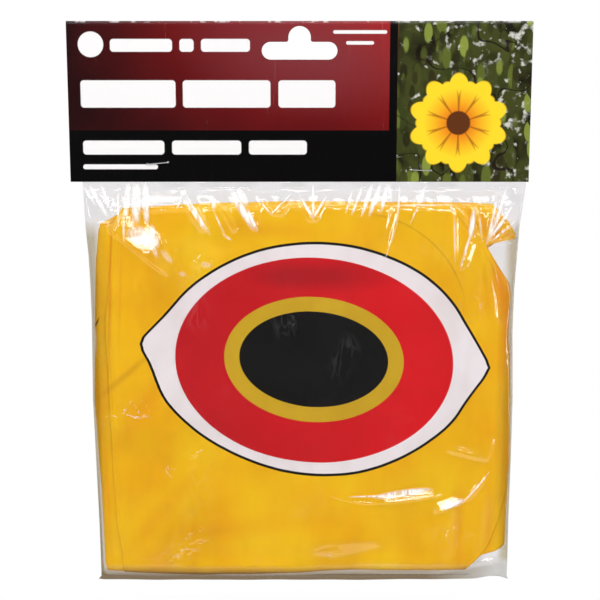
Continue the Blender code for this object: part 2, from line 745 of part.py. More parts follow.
def add_fins(rows, side):
    """Widen a skin's rows by the side welds, and end it with the bottom fin and its ears."""
    widened = []
    for row in rows:
        z = row[0][2]
        reach = BAG_WIDTH / 2 * neck_flare(z)
        widened.append([(-reach, side * FILM, z)] + row + [(reach, side * FILM, z)])
    fin_z = widened[-1][0][2] - BOTTOM_FIN
    last = [(x, side * FILM, fin_z) for x, _, _ in widened[-1]]
    last[0] = (-reach - EAR_REACH, side * FILM, fin_z - EAR_DROP)
    last[-1] = (reach + EAR_REACH, side * FILM, fin_z - EAR_DROP)
    widened.append(last)
    return widened


def add_grid(shape, grid):
    """Two triangles for each cell, cut the same way in every skin, so that skins stay parallel."""
    for above, below in zip(grid, grid[1:]):
        cells = len(above) - 1
        for i in range(cells):
            a, b, c, d = above[i], above[i + 1], below[i + 1], below[i]
            if i < cells // 2:
                shape.faces.new((a, b, d))
                shape.faces.new((b, c, d))
            else:
                shape.faces.new((a, b, c))
                shape.faces.new((a, c, d))


def bag_pouch(film):
    """A thin film shell round the folded balloon, welded at its sides and open at its neck."""
    outer = skin_points(BAG_CORNER, FRONT_DEPTH, BACK_DEPTH, BOTTOM_REACH, FILM)
    inner = skin_points(
        BAG_CORNER - FILM, FRONT_DEPTH - FILM, BACK_DEPTH - FILM, BOTTOM_REACH - FILM, 0.0
    )
    shape = bmesh.new()
    front, back = (
        [[shape.verts.new(point) for point in row] for row in add_fins(rows, side)]
        for rows, side in zip(outer, (-1, 1))
    )
    inner_front = [[shape.verts.new(point) for point in row] for row in inner[0]]
    inner_back = []
    for row, front_row in zip(inner[1][:-1], inner_front):
        middle = [shape.verts.new(point) for point in row[1:-1]]
        inner_back.append([front_row[0]] + middle + [front_row[-1]])
    inner_back.append(inner_front[-1])
    for grid in (front, back, inner_front, inner_back):
        add_grid(shape, grid)
    for end in (0, -1):
        for k in range(len(front) - 1):
            shape.faces.new((front[k][end], back[k][end], back[k + 1][end], front[k + 1][end]))
    for i in range(len(front[-1]) - 1):
        shape.faces.new((front[-1][i], back[-1][i], back[-1][i + 1], front[-1][i + 1]))
    for outside, inside in ((front[0], inner_front[0]), (back[0], inner_back[0])):
        for i in range(len(inside) - 1):
            shape.faces.new((outside[i + 1], outside[i + 2], inside[i + 1], inside[i]))
    for end, beside in ((0, 1), (-1, -2)):
        rim = (front[0][end], front[0][beside], inner_front[0][end], back[0][beside], back[0][end])
        shape.faces.new(rim)
    return add_object("bag_pouch", mesh_from_bmesh("bag_pouch", shape), film, math.radians(30))


def hang_on_neck(pieces):
    """Parent the pouch and all in it to an empty on the line that the film's neck bends about."""
    hinge = bpy.data.objects.new("pouch_hinge", None)
    hinge.location = (BAG_OFFSET, 0.0, HINGE_Z)
    bpy.context.scene.collection.objects.link(hinge)
    for piece in pieces:
        piece.parent = hinge
        piece.location.z -= HINGE_Z


def build():
    clear_scene()
    cutter = header_cutter()
    header_card(cutter)
    film = bag_lip(cutter)
    wire = finish("staple_wire", (0.6, 0.6, 0.62), 0.3, 1.0)
    for name, x, z, tilt in staple_places():
        staple(name, x, z, tilt, wire)
    vinyl = finish("yellow_vinyl", (0.85, 0.48, 0.02), 0.35)
    soft = finish("soft_vinyl", (0.88, 0.86, 0.80), 0.3)
    pouch = [gore(number, vinyl) for number in range(1, GORE_COUNT + 1)]
    pouch += [top_cap(vinyl), *hang_tab(vinyl), bottom_cap(vinyl)]
    pouch += [valve_stem(soft), valve_flap(soft), valve_plug(soft), valve_tether(soft)]
    pouch.append(bag_pouch(film))
    hang_on_neck(pouch)


build()
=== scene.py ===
"""Dresses a folded scare balloon in its hanging retail pack.

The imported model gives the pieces, their bodies and their places. This script lays the looks
over it: a glossy printed header card, a crinkled clear film bag, the nested vinyl gores with
the printed eye, the pole caps and the valve, and a plain white studio.
"""

import json
import logging
import math
from dataclasses import dataclass
from enum import Enum

import bmesh
import bpy
import numpy as np
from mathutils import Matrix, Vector

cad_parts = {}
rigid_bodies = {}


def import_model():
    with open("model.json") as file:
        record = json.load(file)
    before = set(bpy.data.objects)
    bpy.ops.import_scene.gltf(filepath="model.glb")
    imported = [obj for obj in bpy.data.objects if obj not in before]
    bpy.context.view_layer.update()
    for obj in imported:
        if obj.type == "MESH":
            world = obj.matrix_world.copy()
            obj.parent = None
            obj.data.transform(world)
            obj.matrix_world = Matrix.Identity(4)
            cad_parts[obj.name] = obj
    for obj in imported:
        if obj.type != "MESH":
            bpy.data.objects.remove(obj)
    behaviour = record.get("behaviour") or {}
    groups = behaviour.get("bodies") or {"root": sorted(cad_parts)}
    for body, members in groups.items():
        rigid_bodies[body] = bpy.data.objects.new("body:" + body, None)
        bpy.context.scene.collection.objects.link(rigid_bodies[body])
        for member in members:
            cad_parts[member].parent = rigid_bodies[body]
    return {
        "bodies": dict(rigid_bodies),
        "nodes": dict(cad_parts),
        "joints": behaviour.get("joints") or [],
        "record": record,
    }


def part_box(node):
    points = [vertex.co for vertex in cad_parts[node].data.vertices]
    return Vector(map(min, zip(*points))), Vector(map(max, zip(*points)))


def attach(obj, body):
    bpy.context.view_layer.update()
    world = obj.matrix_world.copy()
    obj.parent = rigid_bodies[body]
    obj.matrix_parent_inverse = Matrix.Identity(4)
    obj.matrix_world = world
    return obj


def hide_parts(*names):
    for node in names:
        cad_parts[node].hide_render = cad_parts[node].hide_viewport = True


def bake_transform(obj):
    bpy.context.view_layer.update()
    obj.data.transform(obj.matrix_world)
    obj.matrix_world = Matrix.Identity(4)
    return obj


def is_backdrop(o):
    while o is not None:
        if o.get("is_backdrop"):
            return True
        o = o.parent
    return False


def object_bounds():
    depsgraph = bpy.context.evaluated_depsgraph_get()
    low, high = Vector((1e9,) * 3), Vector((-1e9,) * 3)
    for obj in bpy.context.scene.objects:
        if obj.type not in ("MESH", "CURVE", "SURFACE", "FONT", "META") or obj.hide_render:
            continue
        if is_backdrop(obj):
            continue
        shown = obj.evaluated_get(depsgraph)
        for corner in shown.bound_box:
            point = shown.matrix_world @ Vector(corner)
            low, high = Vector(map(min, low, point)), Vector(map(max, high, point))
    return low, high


LOG = logging.getLogger("pack")
MATERIAL_OUTPUT = "ShaderNodeOutputMaterial"
FAR = 1000.0

Table = tuple[tuple[float, float], ...]
Point = tuple[float, float]
Point3 = tuple[float, float, float]
Color = tuple[float, float, float]
Array = np.ndarray
Node = bpy.types.Node
Socket = bpy.types.NodeSocket


def from_screen(red: int, green: int, blue: int) -> Color:
    """Turn a colour as a screen shows it, 0 to 255, into the light that it stands for.

    Args:
        red: Red as shown.
        green: Green as shown.
        blue: Blue as shown.

    Returns:
        The three linear values.
    """
    shares = [value / 255 for value in (red, green, blue)]
    return tuple(s / 12.92 if s < 0.04045 else ((s + 0.055) / 1.055) ** 2.4 for s in shares)


def toned(color: Color, share: float) -> Color:
    """A paler or darker colour, no brighter than white."""
    return tuple(min(1.0, value * share) for value in color)


def in_metres(rows: tuple | float) -> tuple | float:
    """Turn millimetres, in rows of any depth, into metres."""
    return tuple(in_metres(row) for row in rows) if isinstance(rows, tuple) else rows / 1000


def smooth_step(share: Array) -> Array:
    """Ease a share from 0 to 1, flat at both ends."""
    share = np.clip(share, 0.0, 1.0)
    return share * share * (3 - 2 * share)


def bell(distance: Array, width: float) -> Array:
    """A round bump of height 1 that is about two widths across."""
    return np.exp(-((distance / width) ** 2))


def read_table(table: Table, at: Array, smooth: bool = True) -> Array:
    """Read a line through a few chosen points.

    Args:
        table: Pairs of place and value, in any steady order of place.
        at: The places to read.
        smooth: Whether the line is a curve without overshoot, or straight between its points.

    Returns:
        The value at each place, held at its ends beyond them.
    """
    knots = np.array(sorted(table), float)
    x, y = knots[:, 0], knots[:, 1]
    if not smooth or len(x) < 3:
        return np.interp(at, x, y)
    step = np.diff(x)
    slope = np.diff(y) / step
    tangent = np.zeros_like(x)
    rising = slope[:-1] * slope[1:] > 0
    mean = 2 * slope[:-1] * slope[1:] / np.where(rising, slope[:-1] + slope[1:], 1.0)
    tangent[1:-1] = np.where(rising, mean, 0.0)
    tangent[0], tangent[-1] = slope[0], slope[-1]
    place = np.clip(at, x[0], x[-1])
    k = np.clip(np.searchsorted(x, place) - 1, 0, len(step) - 1)
    t = (place - x[k]) / step[k]
    rise = y[k] + (y[k + 1] - y[k]) * smooth_step(t)
    bend = t * (1 - t) ** 2 * tangent[k] - t**2 * (1 - t) * tangent[k + 1]
    return rise + bend * step[k]


def arc(x: float, z: float, radius: float, start: float, end: float, steps: int) -> list[Point]:
    """Points along an arc.

    Args:
        x: Its middle, across.
        z: Its middle, up.
        radius: Its radius.
        start: The angle of its first point in degrees.
        end: The angle of its last point in degrees.
        steps: One less than its points.

    Returns:
        The points, both ends among them.
    """
    angles = np.radians(np.linspace(start, end, steps + 1))
    return [(x + radius * math.cos(a), z + radius * math.sin(a)) for a in angles]


def crowded(edge: tuple[float, ...], inset: float, count: int) -> Array:
    """Shares of a width, crowded at both its sides.

    Args:
        edge: The shares beside one edge, from 0 on; the other edge has the same.
        inset: Where the even ones between begin.
        count: How many of them there are.

    Returns:
        All the shares, from 0 to 1.
    """
    sides = np.array(edge)
    return np.concatenate([sides, np.linspace(inset, 1 - inset, count), 1 - sides[::-1]])


class Noise:
    """Seeded smooth noise over the pack's plane."""

    def __init__(self, seed: int, cells: int = 64) -> None:
        """Draw the slopes at the corners of a repeating square grid."""
        angle = np.random.default_rng(seed).uniform(0.0, 2 * math.pi, (cells, cells))
        self.slope_x, self.slope_z = np.cos(angle), np.sin(angle)
        self.cells = cells

    def plain(self, x: Array, z: Array, size: float) -> Array:
        """Soft hills between about -1 and 1.

        Args:
            x: Places across.
            z: Places up.
            size: The width of one cell in metres.

        Returns:
            The height at each place.
        """
        u, w = x / size, z / size
        i, k = np.floor(u).astype(int), np.floor(w).astype(int)
        du, dw = u - i, w - k
        fade_u = du**3 * (du * (du * 6 - 15) + 10)
        fade_w = dw**3 * (dw * (dw * 6 - 15) + 10)
        corner = {}
        for a in (0, 1):
            for b in (0, 1):
                place = ((i + a) % self.cells, (k + b) % self.cells)
                corner[a, b] = self.slope_x[place] * (du - a) + self.slope_z[place] * (dw - b)
        low = corner[0, 0] * (1 - fade_u) + corner[1, 0] * fade_u
        high = corner[0, 1] * (1 - fade_u) + corner[1, 1] * fade_u
        return 1.6 * (low * (1 - fade_w) + high * fade_w)

    def layered(self, x: Array, z: Array, size: float, layers: int) -> Array:
        """Noise with finer noise on it, each layer half the size and height of the last."""
        total = np.zeros_like(x)
        for layer in range(layers):
            share = 0.5**layer
            total = total + share * self.plain(x + 0.37 * layer, z - 0.53 * layer, size * share)
        return total

    def ridged(self, x: Array, z: Array, size: float, layers: int) -> Array:
        """Sharp-crested creases between 0 and 1 with flat facets between them."""
        total = np.zeros_like(x)
        weight = 0.0
        for layer in range(layers):
            share = 0.5**layer
            hill = self.plain(x - 0.29 * layer, z + 0.41 * layer, size * share)
            total = total + share * np.clip(1 - 2.2 * np.abs(hill), 0.0, 1.0)
            weight += share
        return total / weight


class CreaseForm(Enum):
    """How the two flanks of a crease fall away."""

    ROUND = "round"
    SHARP = "sharp"
    LEDGE = "ledge"


ROUND, SHARP, LEDGE = CreaseForm


@dataclass(frozen=True)
class Crease:
    """One raised fold in a sheet, from start to end in the pack's plane.

    A ledge is steep on the right of its direction and runs out gently on the left.
    """

    start: Point
    end: Point
    height: float
    width: float
    form: CreaseForm = ROUND
    bow: float = 0.0
    fade_share: float = 0.35
    end_share: float = 0.0

    def relief(self, x: Array, z: Array) -> Array:
        """Height of this crease above the sheet at each place.

        Args:
            x: Places across.
            z: Places up.

        Returns:
            The heights.
        """
        run_x, run_z = self.end[0] - self.start[0], self.end[1] - self.start[1]
        length = math.hypot(run_x, run_z)
        along = ((x - self.start[0]) * run_x + (z - self.start[1]) * run_z) / length**2
        aside = ((z - self.start[1]) * run_x - (x - self.start[0]) * run_z) / length
        inside = np.clip(along, 0.0, 1.0)
        aside = aside - self.bow * 4 * inside * (1 - inside)
        end_share = self.end_share or self.fade_share
        ends = smooth_step(along / self.fade_share) * smooth_step((1 - along) / end_share)
        if self.form is ROUND:
            flank = bell(aside, self.width)
        elif self.form is SHARP:
            flank = np.clip(1 - np.abs(aside) / self.width, 0.0, 1.0) ** 1.3
        else:
            gentle = np.clip(1 - aside / self.width, 0.0, 1.0)
            steep = smooth_step(1 + aside / (0.2 * self.width))
            flank = np.where(aside > 0, gentle, steep)
        return self.height * ends * flank


@dataclass(frozen=True)
class Fan:
    """Gathers that spread from a pinched point, each as steep at its end as at its root."""

    middle: Point
    noise: Noise
    pleat_angle: float = 0.30
    steepness: float = 0.9
    reach: float = 0.021
    spans: Table = ((0.35, 2.5), (-1.75, -0.95))

    def relief(self, x: Array, z: Array) -> Array:
        """Height of the gathers at each place."""
        run_x, run_z = x - self.middle[0], z - self.middle[1]
        away = np.hypot(run_x, run_z)
        angle = np.arctan2(run_z, run_x)
        wave = self.noise.plain(angle * 0.02, away * 0.08, self.pleat_angle * 0.01)
        inside = np.zeros_like(away)
        for start, end in self.spans:
            inside = inside + smooth_step((angle - start) / 0.25) * smooth_step((end - angle) / 0.25)
        height = self.steepness * self.pleat_angle / 2 * away * wave
        return height * inside * smooth_step((self.reach - away) / (0.5 * self.reach))


def creases(*rows: tuple) -> tuple[Crease, ...]:
    """Make creases from rows of numbers.

    Args:
        rows: Start x and z, end x and z, height and width in millimetres, and then what else
            differs, in the order of the fields of Crease.

    Returns:
        The creases.
    """
    made = []
    for row in rows:
        x, z, end_x, end_z, height, width = in_metres(row[:6])
        made.append(Crease((x, z), (end_x, end_z), height, width, *row[6:]))
    return tuple(made)


def raised(folds: tuple[Crease, ...], x: Array, z: Array) -> Array:
    """All the creases of a sheet, one on another."""
    total = np.zeros_like(x)
    for crease in folds:
        total = total + crease.relief(x, z)
    return total


def new_object(name: str, data: bpy.types.ID) -> bpy.types.Object:
    """Put a mesh, lamp or camera in the scene, with no parent."""
    made = bpy.data.objects.new(name, data)
    bpy.context.scene.collection.objects.link(made)
    return made


def aim(thing: bpy.types.Object, target: Vector, lift: float, turn: float, distance: float) -> None:
    """Stand a lamp or camera off from a target and turn it to look there.

    Args:
        thing: The lamp or camera.
        target: What it looks at.
        lift: How high it stands, in degrees.
        turn: How far round to the right of the front it stands, in degrees.
        distance: How far off it stands.
    """
    lift, turn = math.radians(lift), math.radians(turn)
    away = Vector((math.sin(turn) * math.cos(lift), -math.cos(turn) * math.cos(lift), math.sin(lift)))
    thing.location = target + away * distance
    thing.rotation_euler = (-away).to_track_quat("-Z", "Y").to_euler()


def grid_object(name: str, points: Array, closed: bool = False) -> bpy.types.Object:
    """Make a smooth-shaded sheet of quads.

    Args:
        name: The object's name.
        points: Rows of columns of (x, y, z).
        closed: Whether each row runs round into its own start.

    Returns:
        The new object, in the scene and with no parent.
    """
    rows, columns = points.shape[:2]
    index = np.arange(rows * columns).reshape(rows, columns)
    if closed:
        index = np.concatenate([index, index[:, :1]], axis=1)
    corners = [index[:-1, :-1], index[:-1, 1:], index[1:, 1:], index[1:, :-1]]
    quads = np.stack(corners, axis=-1).reshape(-1, 4)
    mesh = bpy.data.meshes.new(name)
    mesh.from_pydata(points.reshape(-1, 3).tolist(), [], quads.tolist())
    mesh.shade_smooth()
    return new_object(name, mesh)


def settle(piece: bpy.types.Object) -> None:
    """Bake a piece's modifiers into its mesh."""
    graph = bpy.context.evaluated_depsgraph_get()
    graph.update()
    mesh = bpy.data.meshes.new_from_object(piece.evaluated_get(graph), depsgraph=graph)
    piece.modifiers.clear()
    piece.data = mesh


def thicken(piece: bpy.types.Object, thickness: float, side_slot: int = 0) -> None:
    """Give a sheet its two faces.

    Args:
        piece: The sheet.
        thickness: How thick it becomes, half to each side.
        side_slot: How far on in the material slots the cut edge's finish stands.
    """
    modifier = piece.modifiers.new("thickness", "SOLIDIFY")
    modifier.thickness = thickness
    modifier.offset = 0.0
    modifier.material_offset = side_slot
    modifier.material_offset_rim = side_slot


def dress(piece: bpy.types.Object, *materials: bpy.types.Material) -> None:
    """Put these materials in a piece's slots, in order."""
    piece.data.materials.clear()
    for material in materials:
        piece.data.materials.append(material)


@dataclass(frozen=True)
class Area:
    """Middle, half sizes and turn of a printed mark or a soft patch."""

    x: float
    z: float
    half_x: float
    half_z: float
    turn: float = 0.0

    @classmethod
    def rows(cls, *rows: tuple) -> tuple:
        """One for each row, with its middle and half sizes in millimetres."""
        return tuple(cls(*in_metres(row[:4]), *row[4:]) for row in rows)

    def inputs(self) -> dict[str, float]:
        """What a shared mask needs of it."""
        return {"Center X": self.x, "Center Z": self.z, "Half X": self.half_x, "Half Z": self.half_z}


class Wiring:
    """Adds nodes to one tree and joins them; patterns and masks read the tree's own point."""

    def __init__(self, tree: bpy.types.NodeTree) -> None:
        """Work in this tree."""
        self.tree = tree
        self.point: object = None

    def feed(self, socket: Socket, value: object) -> None:
        """Join another socket to this one, or set its own value."""
        if isinstance(value, Socket):
            self.tree.links.new(value, socket)
        elif socket.type == "RGBA" and len(value) == 3:
            socket.default_value = (*value, 1.0)
        else:
            socket.default_value = value

    def fill(self, node: Node, inputs: dict[str, object]) -> None:
        """Feed some of a node's inputs, by their names."""
        for name, value in inputs.items():
            self.feed(node.inputs[name], value)

    def add(self, kind: str, inputs: dict[str, object] | None = None, **settings: object) -> Node:
        """Add one node.

        Args:
            kind: Its Blender type.
            inputs: Values or sockets by the name of the input.
            settings: Attributes of the node itself.

        Returns:
            The node.
        """
        node = self.tree.nodes.new(kind)
        for name, value in settings.items():
            setattr(node, name, value)
        self.fill(node, inputs or {})
        return node

    def math(self, operation: str, first: object, second: object = 0.0, clamp: bool = False) -> Socket:
        """One sum on two numbers."""
        node = self.add("ShaderNodeMath", operation=operation, use_clamp=clamp)
        self.feed(node.inputs[0], first)
        self.feed(node.inputs[1], second)
        return node.outputs[0]

    def plus(self, first: object, second: object, clamp: bool = False) -> Socket:
        """One number and another."""
        return self.math("ADD", first, second, clamp)

    def minus(self, first: object, second: object, clamp: bool = False) -> Socket:
        """One number less another."""
        return self.math("SUBTRACT", first, second, clamp)

    def times(self, first: object, second: object) -> Socket:
        """One number times another."""
        return self.math("MULTIPLY", first, second)

    def over(self, first: object, second: object) -> Socket:
        """One number divided by another."""
        return self.math("DIVIDE", first, second)

    def most(self, first: object, second: object) -> Socket:
        """The larger of two numbers."""
        return self.math("MAXIMUM", first, second)

    def size(self, value: object) -> Socket:
        """A number without its sign."""
        return self.math("ABSOLUTE", value)

    def length(self, x: object, z: object) -> Socket:
        """How long a way across and up is."""
        return self.math("SQRT", self.plus(self.times(x, x), self.times(z, z)))

    def turned(self, x: object, z: object, cosine: object, sine: object) -> tuple[Socket, Socket]:
        """A place along and across a turned line."""
        along = self.plus(self.times(x, cosine), self.times(z, sine))
        return along, self.minus(self.times(z, cosine), self.times(x, sine))

    def blend(self, factor: object, first: object, second: object, mode: str = "MIX") -> Socket:
        """A colour between two others.

        Args:
            factor: 0 for the first, 1 for the second.
            first: A colour.
            second: Another colour.
            mode: How the second is laid on the first.

        Returns:
            The colour.
        """
        node = self.add("ShaderNodeMix", data_type="RGBA", blend_type=mode, clamp_factor=True)
        for place, value in ((0, factor), (6, first), (7, second)):
            self.feed(node.inputs[place], value)
        return node.outputs[2]

    def spread(
        self, value: object, low: float, high: float, to_low: float = 0.0, to_high: float = 1.0
    ) -> Socket:
        """Stretch one range of numbers to another, held at its ends.

        Args:
            value: What is read.
            low: One end of its range.
            high: The other end.
            to_low: What the first end becomes.
            to_high: What the other end becomes.

        Returns:
            The new number.
        """
        node = self.add("ShaderNodeMapRange", clamp=True)
        for place, number in enumerate((value, low, high, to_low, to_high)):
            self.feed(node.inputs[place], number)
        return node.outputs[0]

    def axes(self) -> dict:
        """The parts X, Y and Z of the point."""
        return self.add("ShaderNodeSeparateXYZ", {"Vector": self.point}).outputs

    def lie(self, turn: float, scale: Point3, shift: float = 0.0) -> Socket:
        """The point turned about Y and stretched, so that a pattern lies along one direction."""
        inputs = {"Location": (shift,) * 3, "Rotation": (0.0, turn, 0.0), "Scale": scale}
        return self.add("ShaderNodeMapping", {"Vector": self.point, **inputs}).outputs["Vector"]

    def noise(
        self, scale: object, detail: float = 2.0, at: object = None, bent: float = 0.0, rough: float = 0.5
    ) -> Socket:
        """Smooth noise, most of it between 0.3 and 0.7.

        Args:
            scale: Hills per metre.
            detail: Layers of finer noise on it.
            at: Where it is read, if not at the tree's own point.
            bent: How far it is bent by itself.
            rough: How strong the finer layers are.

        Returns:
            Its height.
        """
        inputs = {"Vector": self.point if at is None else at, "Scale": scale, "Detail": detail}
        inputs |= {"Distortion": bent, "Roughness": rough}
        return self.add("ShaderNodeTexNoise", inputs).outputs["Fac"]

    def away(self, area: Area) -> Socket:
        """How far the point lies from an ellipse's middle, as a share of its size: 1 on its rim."""
        inputs = {
            "Vector": self.point,
            "Location": (area.x, 0.0, area.z),
            "Rotation": (0.0, -area.turn, 0.0),
            "Scale": (area.half_x, FAR, area.half_z),
        }
        lie = self.add("ShaderNodeMapping", inputs, vector_type="TEXTURE")
        return self.reach(lie.outputs["Vector"])

    def reach(self, way: object) -> Socket:
        """The length of a vector."""
        return self.add("ShaderNodeVectorMath", {"Vector": way}, operation="LENGTH").outputs["Value"]

    def place(self, name: str, inputs: dict[str, object]) -> dict:
        """Put a shared node group in this tree, at its point, and give the group's outputs."""
        node = self.add("ShaderNodeGroup", node_tree=bpy.data.node_groups[name])
        self.fill(node, {"Point": self.point, **inputs})
        return node.outputs

    def mix(self, factor: object, first: Node, second: Node) -> Node:
        """A shader between two others."""
        node = self.add("ShaderNodeMixShader")
        for place, value in enumerate((factor, first.outputs[0], second.outputs[0])):
            self.feed(node.inputs[place], value)
        return node

    def show(self, output: str, shader: Node) -> None:
        """Join a shader to the tree's output, which is made if there is none."""
        found = [node for node in self.tree.nodes if node.bl_idname == output]
        self.feed((found or [self.add(output)])[0].inputs["Surface"], shader.outputs[0])

    def oval(self, area: Area, soft: float) -> Socket:
        """1 inside a turned ellipse; its soft edge is a share of its size."""
        return self.place(SharedGroups.ELLIPSE, {**area.inputs(), "Turn": area.turn, "Soft": soft})["Mask"]

    def box(self, area: Area, corner: float, soft: float) -> Socket:
        """1 inside an upright box with round corners; its soft edge is in metres."""
        return self.place(SharedGroups.BOX, {**area.inputs(), "Round": corner, "Soft": soft})["Mask"]

    def grain(self, fine: float, drift: float) -> dict:
        """The shared grain's Height and Tone."""
        return self.place(SharedGroups.GRAIN, {"Per Metre": fine, "Drift Per Metre": drift})

    def scuffs(self, fine: float, amount: float) -> Socket:
        """The shared scratches' mask."""
        return self.place(SharedGroups.SCUFFS, {"Per Metre": fine, "Amount": amount})["Mask"]

    def bump(self, height: object, depth: float, strength: float = 1.0) -> Socket:
        """A normal from a height of 0 to 1."""
        inputs = {"Strength": strength, "Distance": depth, "Height": height}
        return self.add("ShaderNodeBump", inputs).outputs["Normal"]


class Kind(Enum):
    """Sockets that a shared group may have."""

    NUMBER = "NodeSocketFloat"
    VECTOR = "NodeSocketVector"


class SharedGroups:
    """Node groups that more than one finish uses."""

    BOX = "box_mask"
    ELLIPSE = "ellipse_mask"
    GRAIN = "fine_grain"
    SCUFFS = "hair_scuffs"
    SHAPE = ("Center X", "Center Z", "Half X", "Half Z", "Soft")

    def build(self) -> None:
        """Make every group once."""
        self.box_mask()
        self.ellipse_mask()
        self.fine_grain()
        self.hair_scuffs()

    def start(self, name: str, inputs: tuple[str, ...], *outputs: str) -> tuple[Wiring, dict, dict]:
        """Open a new group.

        Args:
            name: The group's name.
            inputs: Names of the inputs beside Point, all of them numbers.
            outputs: Names of the outputs, all of them numbers.

        Returns:
            The group's wiring, its input sockets and its output sockets by name.
        """
        tree = bpy.data.node_groups.new(name, "ShaderNodeTree")
        numbers = dict.fromkeys(inputs, Kind.NUMBER)
        sides = {"INPUT": {"Point": Kind.VECTOR, **numbers}, "OUTPUT": dict.fromkeys(outputs, Kind.NUMBER)}
        for side, sockets in sides.items():
            for label, kind in sockets.items():
                tree.interface.new_socket(name=label, in_out=side, socket_type=kind.value)
        net = Wiring(tree)
        entry = net.add("NodeGroupInput").outputs
        net.point = entry["Point"]
        return net, entry, net.add("NodeGroupOutput").inputs

    def edge(self, net: Wiring, away: Socket, soft: object) -> Socket:
        """Turn a signed share outside a shape into a mask with a soft rim."""
        return net.minus(0.5, net.over(away, soft), clamp=True)

    def box_mask(self) -> None:
        """1 inside an upright box with rounded corners; its soft edge is in metres."""
        net, entry, leave = self.start(self.BOX, (*self.SHAPE, "Round"), "Mask")
        axes = net.axes()
        past = []
        for axis in ("X", "Z"):
            away = net.minus(axes[axis], entry["Center " + axis])
            flat = net.minus(entry["Half " + axis], entry["Round"])
            past.append(net.minus(net.size(away), flat))
        outer = net.length(*(net.most(value, 0.0) for value in past))
        away = net.plus(outer, net.math("MINIMUM", net.most(*past), 0.0))
        away = net.minus(away, entry["Round"])
        net.feed(leave["Mask"], self.edge(net, away, entry["Soft"]))

    def ellipse_mask(self) -> None:
        """1 inside a turned ellipse; its soft edge is a share of its size."""
        net, entry, leave = self.start(self.ELLIPSE, (*self.SHAPE, "Turn"), "Mask")
        axes = net.axes()
        x, z = (net.minus(axes[axis], entry["Center " + axis]) for axis in ("X", "Z"))
        cosine, sine = (net.math(name, entry["Turn"]) for name in ("COSINE", "SINE"))
        along, up = net.turned(x, z, cosine, sine)
        away = net.length(net.over(along, entry["Half X"]), net.over(up, entry["Half Z"]))
        net.feed(leave["Mask"], self.edge(net, net.minus(away, 1.0), entry["Soft"]))

    def fine_grain(self) -> None:
        """A fine even grain: a height and a tone of -1 to 1 that drifts slowly."""
        net, entry, leave = self.start(self.GRAIN, ("Per Metre", "Drift Per Metre"), "Height", "Tone")
        net.feed(leave["Height"], net.noise(entry["Per Metre"], 3.0, rough=0.6))
        net.feed(leave["Tone"], net.spread(net.noise(entry["Drift Per Metre"]), 0.3, 0.7, -1.0))

    def hair_scuffs(self) -> None:
        """Thin handling scratches in two directions, broken up along their length."""
        net, entry, leave = self.start(self.SCUFFS, ("Per Metre", "Amount"), "Mask")
        total: object = 0.0
        for turn, stretch in ((0.5, (1.0, 1.0, 0.05)), (2.1, (0.9, 1.0, 0.07))):
            hairs = net.noise(entry["Per Metre"], at=net.lie(turn, stretch))
            total = net.most(total, net.spread(hairs, 0.62, 0.7))
        broken = net.spread(net.noise(45.0), 0.5, 0.66)
        net.feed(leave["Mask"], net.times(net.times(total, broken), entry["Amount"]))


def new_material(name: str) -> tuple[bpy.types.Material, Wiring, Node]:
    """Open a material.

    Args:
        name: Its name.

    Returns:
        The material, its wiring and its Principled shader, which is joined to the output.
    """
    material = bpy.data.materials.new(name)
    material.use_nodes = True
    material.node_tree.nodes.clear()
    net = Wiring(material.node_tree)
    net.point = net.add("ShaderNodeTexCoord").outputs["Object"]
    shader = net.add("ShaderNodeBsdfPrincipled")
    net.show(MATERIAL_OUTPUT, shader)
    return material, net, shader


@dataclass(frozen=True)
class Leaves:
    """One layer of leaf shapes in the decorative picture."""

    turn: float
    slimness: float
    per_metre: float
    reach: float
    amount: float
    tint: Color


@dataclass(frozen=True)
class Blossom:
    """A plain yellow flower in the decorative picture."""

    x: float = 0.0655
    z: float = -0.0395
    radius: float = 0.0205
    heart: float = 0.0052
    lobes: float = 5.0
    petal: Color = from_screen(246, 206, 40)
    base: Color = from_screen(226, 128, 22)
    middle: Color = from_screen(92, 48, 20)
    gap: Color = from_screen(150, 84, 18)

    def paint(self, net: Wiring, ground: object) -> Socket:
        """Print the flower over a ground colour."""
        axes = net.axes()
        x, z = net.minus(axes["X"], self.x), net.minus(axes["Z"], self.z)
        reach = net.length(x, z)
        share = net.over(reach, self.radius)
        angle = net.math("ARCTAN2", z, x)
        color = ground
        for shift, size in ((0.31, 1.0), (0.0, 0.86)):
            lobe = net.size(net.math("COSINE", net.times(net.plus(angle, shift), self.lobes)))
            edge = net.plus(net.times(net.math("POWER", lobe, 0.6), 0.42), 0.58)
            inside = net.spread(net.minus(share, net.times(edge, size)), 0.02, -0.02)
            ink = net.blend(net.spread(share, 0.25, 0.7), self.base, self.petal)
            ink = net.blend(net.spread(lobe, 0.42, 0.1, 0.0, 0.8), ink, self.gap)
            color = net.blend(inside, color, ink)
        return net.blend(net.spread(reach, self.heart, self.heart * 0.9), color, self.middle)


